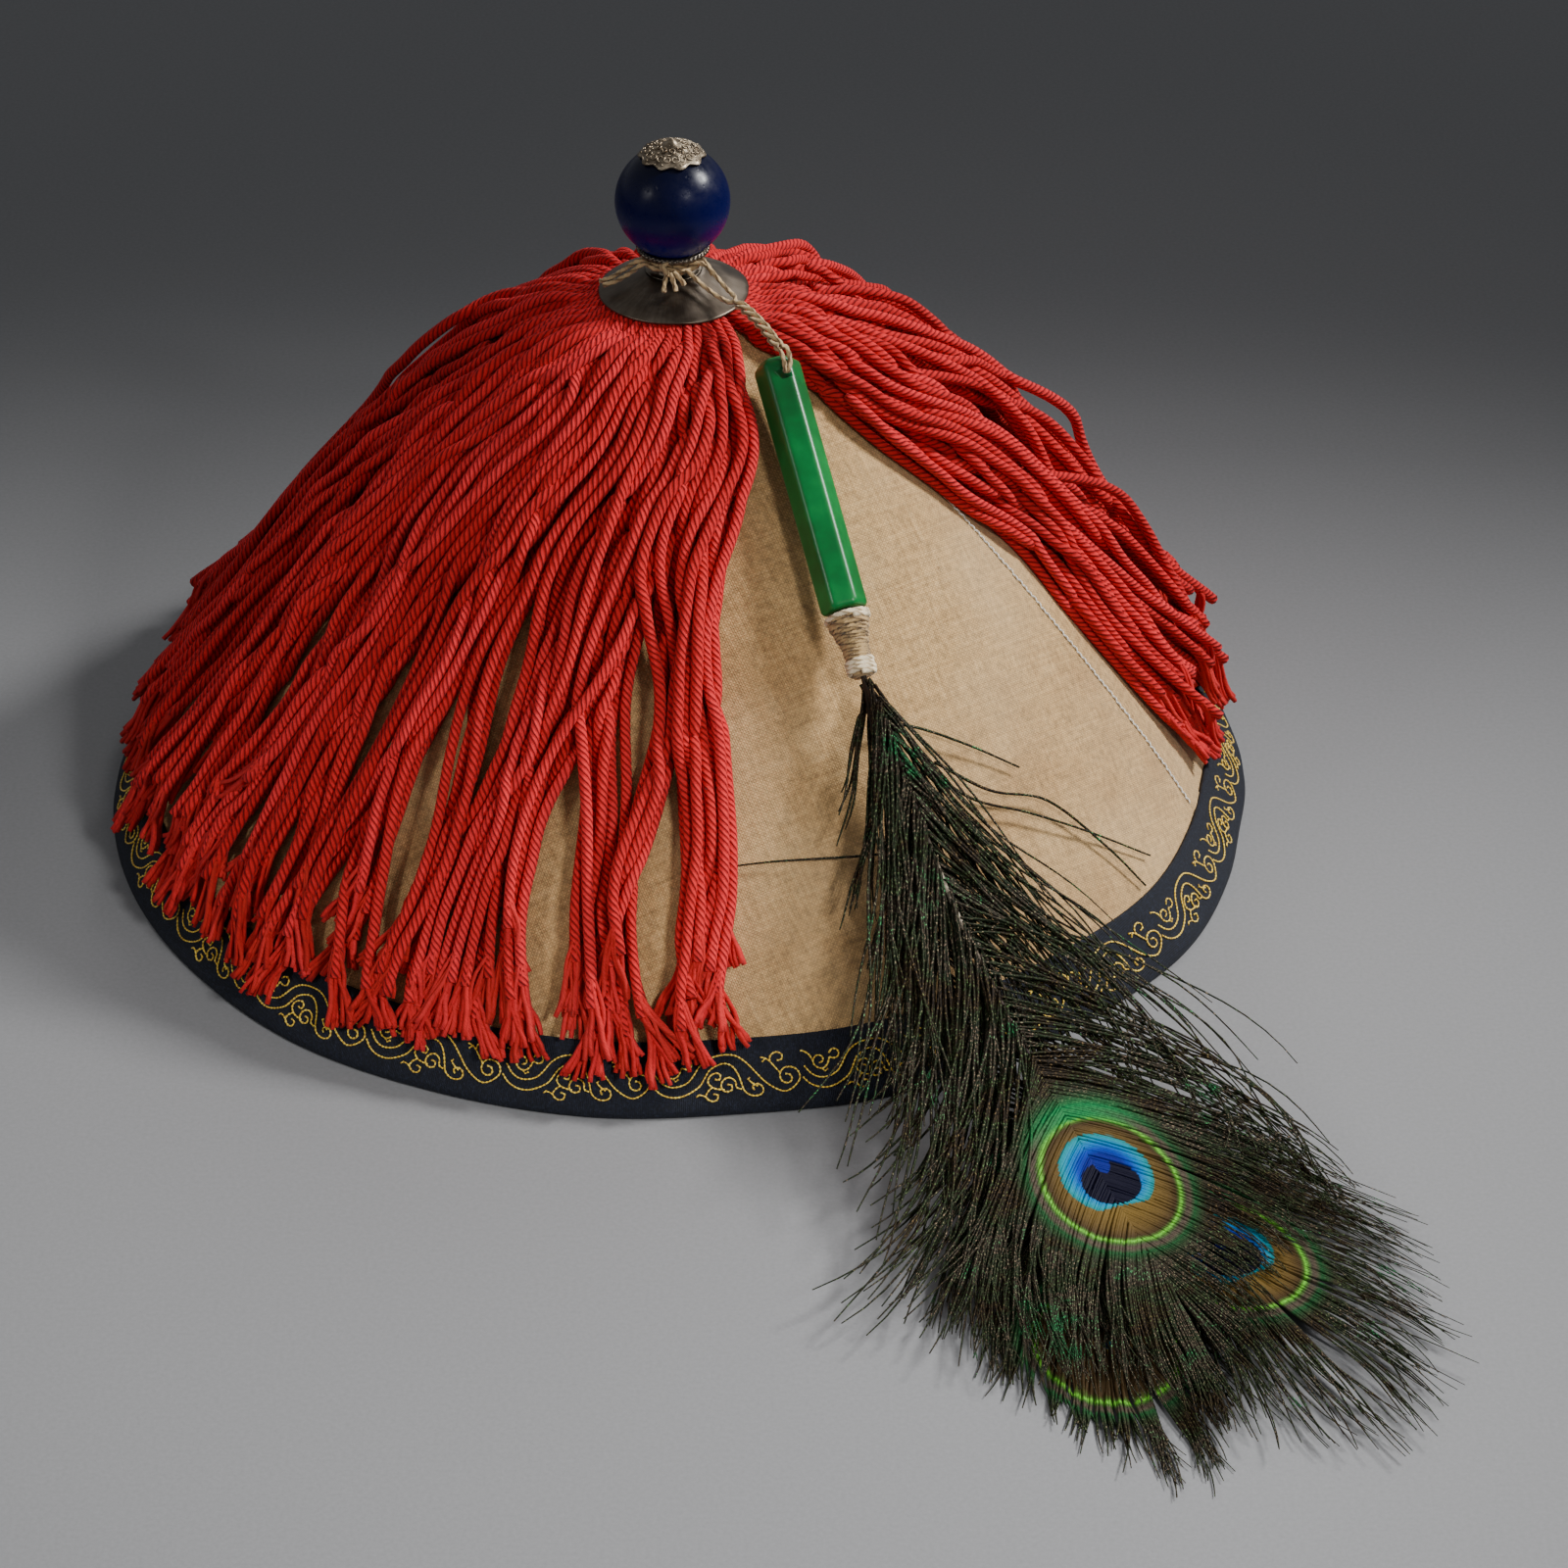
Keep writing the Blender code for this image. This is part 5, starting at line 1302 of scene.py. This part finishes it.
def build_tube():
    """Six sided tube with a chamfered head, the bore from below and the cross hole."""
    half = TUBE_WIDTH / 2
    outline = tube_outline(half, 1.9 * MM)
    columns = len(outline)
    bottom = TUBE_LENGTH - TUBE_BORE_DEPTH
    rows = [(0.02 * MM, 0.0), (0.55 * half, 0.0), (half - TUBE_CHAMFER, 0.05 * MM),
            (half - TUBE_CHAMFER * 0.85, 0.18 * MM),
            (half - 0.12 * TUBE_CHAMFER, TUBE_CHAMFER * 0.92), (half, TUBE_CHAMFER * 1.3)]
    rows += [(half, z) for z in np.linspace(4 * MM, TUBE_LENGTH - 1.6 * MM, 24)]
    rows += [(half - 0.10 * MM, TUBE_LENGTH - 0.8 * MM), (half - 0.45 * MM, TUBE_LENGTH - 0.25 * MM),
             (half - 1.0 * MM, TUBE_LENGTH), (TUBE_BORE_RADIUS, TUBE_LENGTH),
             (TUBE_BORE_RADIUS, bottom), (0.02 * MM, bottom)]
    radius, height = (np.array(column)[:, None] * np.ones(columns) for column in zip(*rows))
    radius[:-3] *= np.hypot(outline[:, 0], outline[:, 1]) / half
    rings = around(radius, np.arctan2(outline[:, 1], outline[:, 0]), height)
    pile = Pile()
    pile.add(tube_frame(rings), np.linspace(0, 1, columns + 1), np.linspace(0, 6.6, len(rows)))
    made = pile.make("jade_tube", JADE, "green_glass")
    drill = Pile()
    hole = [(0, y, TUBE_HOLE_DROP) for y in np.linspace(-TUBE_WIDTH, TUBE_WIDTH, 5)]
    strand(drill, tube_frame(hole), TUBE_HOLE_RADIUS, sides=24)
    cutter = drill.make("tube_drill", JADE, "green_glass")
    cut = made.modifiers.new("hole", "BOOLEAN")
    cut.operation = "DIFFERENCE"
    cut.solver = "EXACT"
    cut.object = cutter
    bpy.context.view_layer.update()
    seen = bpy.context.evaluated_depsgraph_get()
    solid = bpy.data.meshes.new_from_object(made.evaluated_get(seen))
    made.modifiers.clear()
    made.data = solid
    solid.set_sharp_from_angle(angle=math.radians(38))
    bpy.data.objects.remove(cutter)
    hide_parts("plume_tube")


def build_binding():
    """Wraps of string that get narrower, with a few pale ones at both ends."""
    start = TUBE_LENGTH + GAP
    end = start + BINDING_LENGTH
    pile = Pile()
    core = [(0.5 * MM, start + 0.2 * MM), (BINDING_TOP_RADIUS - 1.4 * MM, start + 0.2 * MM),
            (BINDING_END_RADIUS - 1.0 * MM, end - 0.4 * MM), (0.5 * MM, end - 0.4 * MM)]
    lathe(pile, core, 24, frame_of=tube_frame)
    t = np.linspace(0, 1, 420)
    turn = math.tau * 13.5 * t
    narrower = (BINDING_END_RADIUS - BINDING_TOP_RADIUS) * ease(t * 1.15)
    radius = (BINDING_TOP_RADIUS + narrower - 0.70 * MM + 0.10 * MM * np.sin(turn * 0.37)
              + 0.06 * MM * np.sin(turn * 2.3))
    height = start + 0.75 * MM + (BINDING_LENGTH - 5.4 * MM) * t + 0.12 * MM * np.sin(turn * 0.5 + 1)
    strand(pile, tube_frame(around(radius, turn, height)), 0.62 * MM, sides=8, lobes=2, depth=0.3,
           twist=STRING_TWIST)
    made = pile.make("binding_wraps", TAN, "hemp_string")
    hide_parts("plume_binding")
    pale = Pile()
    # Columns: stations, turns, radius, its waviness, first height, run, girth
    for count, wraps, radius, wavy, first, run, girth in (
            (150, 3.3, BINDING_END_RADIUS - 0.45 * MM, 0.03, end - 4.4 * MM, 3.4 * MM, 0.78 * MM),
            (60, 1.25, BINDING_TOP_RADIUS - 0.55 * MM, 0.0, start + 0.9 * MM, 1.2 * MM, 0.80 * MM)):
        t = np.linspace(0, 1, count)
        turn = math.tau * wraps * t
        path = around(radius * (1 + wavy * np.sin(turn * 0.6)), turn, first + run * t)
        strand(pale, tube_frame(path), girth, sides=10, lobes=3, depth=0.2, twist=1200)
    pale.make("binding_pale", CREAM, "hemp_string")


# Plume

def foot_under(spot):
    """Radius of the crown's point below a spot, square to the cloth, and the lift from it."""
    reach = math.hypot(spot[0], spot[1])
    radius = reach
    lift = 0.0
    for _ in range(40):
        slope = float(crown_slope(radius))
        length = math.hypot(slope, 1)
        radius = reach + slope / length * lift
        lift = (lift + (spot[2] - float(crown_rise(radius))) * length) / 2
    return radius, lift


BINDING_TIP = tube_frame((0, 0, TUBE_LENGTH + GAP + BINDING_LENGTH))
PLUME_RADIUS, PLUME_LIFT = foot_under(BINDING_TIP)
LOWEST_LAYER = VANE_THICKNESS / 2 + GAP / 2


def plume_point(plan, offset):
    """Points over places in plan, lifted off what the plume lies on."""
    radius = np.hypot(plan[..., 0], plan[..., 1])
    height, slope = drape(radius)
    return raised(np.degrees(np.arctan2(plan[..., 1], plan[..., 0])), radius, height, slope, offset)


def layer_offset(radius, layer):
    """Lift of a feather's layer: high at the binding, then lying on the one below."""
    middle = LOWEST_LAYER + LAYER_PITCH
    drop = ease((radius - PLUME_RADIUS) / (PLUME_SETTLES * RIM_RADIUS - PLUME_RADIUS))
    return LOWEST_LAYER + LAYER_PITCH * layer + (PLUME_LIFT - middle) * (1 - drop)


def quill_plan(row, shares):
    """Places of the quill in plan, at shares of its length."""
    _, _, start, end, length, _ = row
    steps = 24
    middle = (np.arange(steps) + 0.5) / steps
    angle = np.radians(start + (end - start) * shares[..., None] * middle)
    stride = length * shares / steps
    moves = np.stack([np.cos(angle), np.sin(angle)], -1) * stride[..., None, None]
    return PLUME_RADIUS * unit(BINDING_TIP[:2]) + moves.sum(-2)


def build_feather(row, seed):
    """Barbs on both sides of a quill, loose above and webbed at the eye, and the quill."""
    name, layer, head, tail, length, vane = row
    generator = np.random.default_rng(seed)
    loose = np.arange(0.5 * MM / length, DENSE_FROM, LOOSE_BARBS / length)
    dense = np.arange(DENSE_FROM, 1.0, DENSE_BARBS / length)
    v = np.linspace(0, 1, BARB_STATIONS)
    fine = np.linspace(0, 1, 4 * (BARB_STATIONS - 1) + 1)
    middle = ((fine[:-1] + fine[1:]) / 2)[None, :]
    axis = math.radians(tail)
    eye_axes = np.array(((-math.sin(axis), math.cos(axis)), (math.cos(axis), math.sin(axis)))).T
    pile = Pile()
    for side in (-1, 1):
        shares = np.concatenate([loose, dense])
        if side > 0 and name != "lower":
            sparse = (shares > 0.26) & (shares < 0.46)
            shares = shares[~sparse | (generator.uniform(0, 1, len(shares)) < 0.5)]
        shares = np.clip(shares + generator.normal(0, 0.15 * MM, len(shares)) / length, 0, 1)
        columns = (1, 2) if side < 0 else (3, 4)
        heading = head + (tail - head) * shares
        rank = shares * length / LOCK_OF_BARBS
        lock = np.floor(rank + generator.normal(0, 0.2, len(shares))).astype(int)
        clump = np.clip(generator.normal(0, 1, 80), -1.6, 1.2)[np.clip(lock, 0, 79)]
        gather = (rank - lock - 0.5) * 6.0
        tight = ease((shares - 0.50) / 0.10)
        uneven = clump * 4.6 + gather + generator.normal(0, 1.8, len(shares))
        angle = along(vane, shares, columns[0]) + uneven * (1 - 0.92 * tight)
        reach = along(vane, shares, columns[1]) * BARB_LENGTH
        uneven = np.clip(generator.normal(0, 1, len(shares)), -2.2, 1.1)
        reach = reach * (1 + 0.15 * uneven * (1 - 0.4 * tight))
        curl = generator.normal(0, 0.16, len(shares)) + 0.10 * clump
        tight = tight[:, None]
        arch = 1.0 if side > 0 else -0.85
        arched = -0.2 + (arch + 0.2) * ease((shares[:, None] - 0.05) / 0.30)
        bend = arched + (0.9 - arch) * tight
        lean = np.radians(heading[:, None] + side * angle[:, None] * (1 + bend * (0.5 - middle))
                          + side * 55 * curl[:, None] * middle ** 2)
        if side > 0:
            lean = lean - np.radians(30) * ease((middle - 0.5) / 0.5) * (1 - 0.7 * tight)
        ripple = np.radians(6) * np.sin(middle * 9 + generator.uniform(0, 6.3, (len(shares), 1)))
        lean = lean + ripple * (1 - 0.8 * tight * (middle <= 0.6))
        stride = (reach / (len(fine) - 1))[:, None, None]
        moves = np.stack([np.cos(lean), np.sin(lean)], -1) * stride
        plan = np.concatenate([np.zeros((len(shares), 1, 2)), np.cumsum(moves, 1)], 1)[:, ::4]
        plan = plan + quill_plan(row, shares)[:, None, :]
        radius = np.hypot(plan[..., 0], plan[..., 1])
        jitter = generator.uniform(-1.3, 1.3, (len(shares), 1)) * MM * (1 - 0.8 * tight)
        sag = generator.normal(0, 1.2, (len(shares), 1)) * MM * v ** 2 * (1 - 0.5 * tight)
        offset = layer_offset(radius, layer) + jitter + sag + 0.8 * MM * (1 - v) ** 2
        centre = plume_point(plan, offset)
        above = plume_point(plan, offset + MM)
        normal = unit(above - centre)
        centre[..., 2] = np.maximum(centre[..., 2], 0.35 * MM)
        in_eye = (plan - np.array(EYE_AT[name])) @ eye_axes
        ring = np.linalg.norm(in_eye / (EYE_WIDTH, EYE_LENGTH), axis=-1)
        inside = tight * (1 - ease((ring - 1.15) / 0.65))
        width = ((0.41 - 0.10 * tight + 0.26 * inside) * MM * (1 - 0.6 * v ** 3))[..., None]
        across = unit(np.cross(unit(np.gradient(centre, axis=1)), normal))
        rings = np.stack([centre - (across + 0.25 * normal) * width,
                          centre + normal * width * 0.55,
                          centre + (across - 0.05 * normal) * width], 2)
        if name == "lower":
            in_eye = in_eye * np.maximum(1, 0.93 / np.maximum(ring, 0.05))[..., None]
        mark = 0.5 + in_eye * (-10, 10)
        for number in range(len(shares)):
            pile.add(rings[number], (0, 0.33, 0.66, 1), v * reach[number] / MM / 10 + number * 0.37,
                     mark[number][:, None].repeat(3, 1))
    made = pile.make(f"barbs_{name}", BARBS, "peacock_barbs")
    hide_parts(f"feather_{name}")
    shares = np.linspace(0, 1, 90)
    plan = quill_plan(row, shares)
    radius = np.hypot(plan[:, 0], plan[:, 1])
    path = plume_point(plan, layer_offset(radius, layer) - 0.1 * MM)
    path[:, 2] = np.maximum(path[:, 2], 0.6 * MM)
    inside = tube_frame((0, 0, TUBE_LENGTH - 6 * MM))
    wound = tube_frame((0, 0, TUBE_LENGTH + 10 * MM))
    start = smooth_path([inside, wound, BINDING_TIP, path[4]], 6)
    path = np.concatenate([start[:-1], path[4:]])
    thick = QUILL_RADIUS * np.interp(np.linspace(0, 1, len(path)), (0, 0.2, 0.6, 0.8, 1),
                                     (0.95, 0.85, 0.6, 0.3, 0.15))
    quill = Pile()
    strand(quill, path, thick, sides=8)
    quill.make(f"quill_{name}", QUILL, "peacock_barbs")


def build_strays():
    """Barbs that have come loose from the web and lie across the linen."""
    pile = Pile()
    lines = (
        ((-59.8, 0.778, 6.0), (-63.0, 0.773, 4.6), (-67.4, 0.767, 3.2), (-72.3, 0.761, 2.4),
         (-77.2, 0.758, 1.8), (-82.0, 0.759, 1.6)),
        ((-55.0, 0.71, 6.0), (-50.3, 0.752, 5.0), (-43.5, 0.789, 3.6), (-36.5, 0.838, 2.4),
         (-29.4, 0.902, 1.6)),
        ((-54.0, 0.70, 6.0), (-47.6, 0.750, 4.6), (-39.9, 0.789, 3.2), (-34.9, 0.863, 2.0),
         (-32.5, 0.920, 1.5)),
        ((-60, 0.64, 5.0), (-54, 0.66, 4.6), (-47, 0.70, 3.4), (-41, 0.745, 2.4)),
        ((-61, 0.76, 4.6), (-64, 0.86, 3.4), (-66, 0.95, 3.2), (-67, 1.0, 3.4)),
    )
    for line in lines:
        path = smooth_path([crown_point(a, r * RIM_RADIUS, h * MM) for a, r, h in line], 10)
        strand(pile, path, np.linspace(0.48, 0.26, len(path)) * MM, sides=4, mark=(0.5, 0.95))
    pile.make("stray_barbs", BARBS, "peacock_barbs")


# Seam and hem of the linen

def build_seam():
    """White stitches along the seam, and the edge of the cloth that it holds down."""
    generator = np.random.default_rng(7)
    pile = Pile()
    bow = np.array((0.05, 0.34, 0.42, 0.34, 0.05)) * MM
    place = 26 * MM
    while place < 0.985 * BAND_TOP:
        radii = np.linspace(place, place + STITCH_PITCH * 0.62, 5)
        turn = SEAM_AZIMUTH + np.degrees(generator.normal(0, 0.12) * MM / place)
        strand(pile, crown_point(turn, radii, wrinkles(turn, radii) + bow), 0.30 * MM, sides=5)
        place += STITCH_PITCH / math.hypot(1, float(crown_slope(place)))
    stitches = pile.make("seam_stitches", STITCH, "linen")
    hem = Pile()
    radii = np.linspace(24 * MM, BAND_TOP + 1 * MM, 60)
    rows = []
    for across, lift in ((-0.3, 0.02), (0.4, 0.34), (2.0, 0.42), (7.6, 0.40), (8.4, 0.30), (8.8, 0.02)):
        turn = SEAM_AZIMUTH + np.degrees(across * MM / radii)
        rows.append(crown_point(turn, radii, wrinkles(turn, radii) + lift * MM))
    hem.add(np.stack(rows, 1), (0, 0.07, 0.23, 0.8, 0.87, 0.9, 1), radii / MM / 10 * 1.6,
            closed=False)
    return [stitches, hem.make("seam_hem", LINEN, "linen")]


# Camera, light and floor

def look_at(obj, target):
    obj.rotation_euler = (Vector(target) - obj.location).to_track_quat("-Z", "Y").to_euler()


def soft_spot(name, place, target, radius, power, angle, blend):
    data = bpy.data.lights.new(name, "SPOT")
    data.shadow_soft_size = radius
    data.energy = power
    data.spot_size = math.radians(angle)
    data.spot_blend = blend
    light = bpy.data.objects.new(name, data)
    light.location = place
    bpy.context.scene.collection.objects.link(light)
    look_at(light, target)


def build_studio():
    camera_data = bpy.data.cameras.new("camera")
    camera_data.sensor_width = 36
    camera_data.lens = 112.5
    camera_data.clip_end = 20
    camera = bpy.data.objects.new("camera", camera_data)
    camera.location = (27.593 * MM, -1090.491 * MM, 720.389 * MM)
    camera.rotation_euler = (math.radians(56.48), 0, 0)
    bpy.context.scene.collection.objects.link(camera)
    bpy.context.scene.camera = camera
    pool = (-0.02, -0.23, 0.0)
    front = (0.0, -0.25, 0.0)
    soft_spot("key_right", (0.96, 0.14, 0.92), pool, 0.13, 90, 37, 0.6)
    soft_spot("back_right", (0.30, 0.95, 0.92), pool, 0.20, 15, 30, 0.6)
    soft_spot("front_right", (0.62, -0.95, 0.80), front, 0.12, 46, 25, 0.6)
    soft_spot("front_left", (-1.05, -0.80, 0.80), front, 0.18, 29, 22, 0.6)
    world = bpy.data.worlds.new("studio")
    world.use_nodes = True
    background = world.node_tree.nodes["Background"]
    background.inputs["Color"].default_value = (0.62, 0.64, 0.67, 1)
    background.inputs["Strength"].default_value = 0.34
    bpy.context.scene.world = world
    mesh = bpy.data.meshes.new("floor")
    bm = bmesh.new()
    bmesh.ops.create_grid(bm, x_segments=2, y_segments=2, size=3.0)
    bm.to_mesh(mesh)
    bm.free()
    p = Paint("floor_paper", 0.90)
    tone = p.ramp(p.noise(p.place(), 900, 3, 0.7), (0.3, (0.20, 0.20, 0.203)),
                  (0.7, (0.23, 0.23, 0.234)))
    p.put([p.shader.inputs["Base Color"]], [tone])
    mesh.materials.append(p.made)
    floor = bpy.data.objects.new("floor", mesh)
    floor.location.z = -0.2 * MM
    bpy.context.scene.collection.objects.link(floor)


build_studio()
cone = build_crown()
seam_pieces = build_seam()
ribbon = build_band()
scroll = build_scroll()
cord_ends, tuft_generator = build_cords()
build_tufts(cord_ends, tuft_generator)
build_disc()
build_collar()
build_ball()
build_cap()
build_tie()
build_braid()
build_tube()
build_binding()
for number, feather in enumerate(FEATHERS):
    build_feather(feather, 40 + number)
build_strays()

# The linen is cut as part of a round and sewn into the cone, and the ribbon is folded over the rim. Below, only
# the cone's slant length and its area are worked out, and nothing uses them
slant = sum(math.hypot(step, float(crown_slope(place)) * step)
            for step in (CROWN_EDGE / 200,) for place in np.arange(0.5, 200) * step)
math.pi * CROWN_EDGE * slant

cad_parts["finial_post"].data.materials.clear()
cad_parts["finial_post"].data.materials.append(DARK_SILVER)
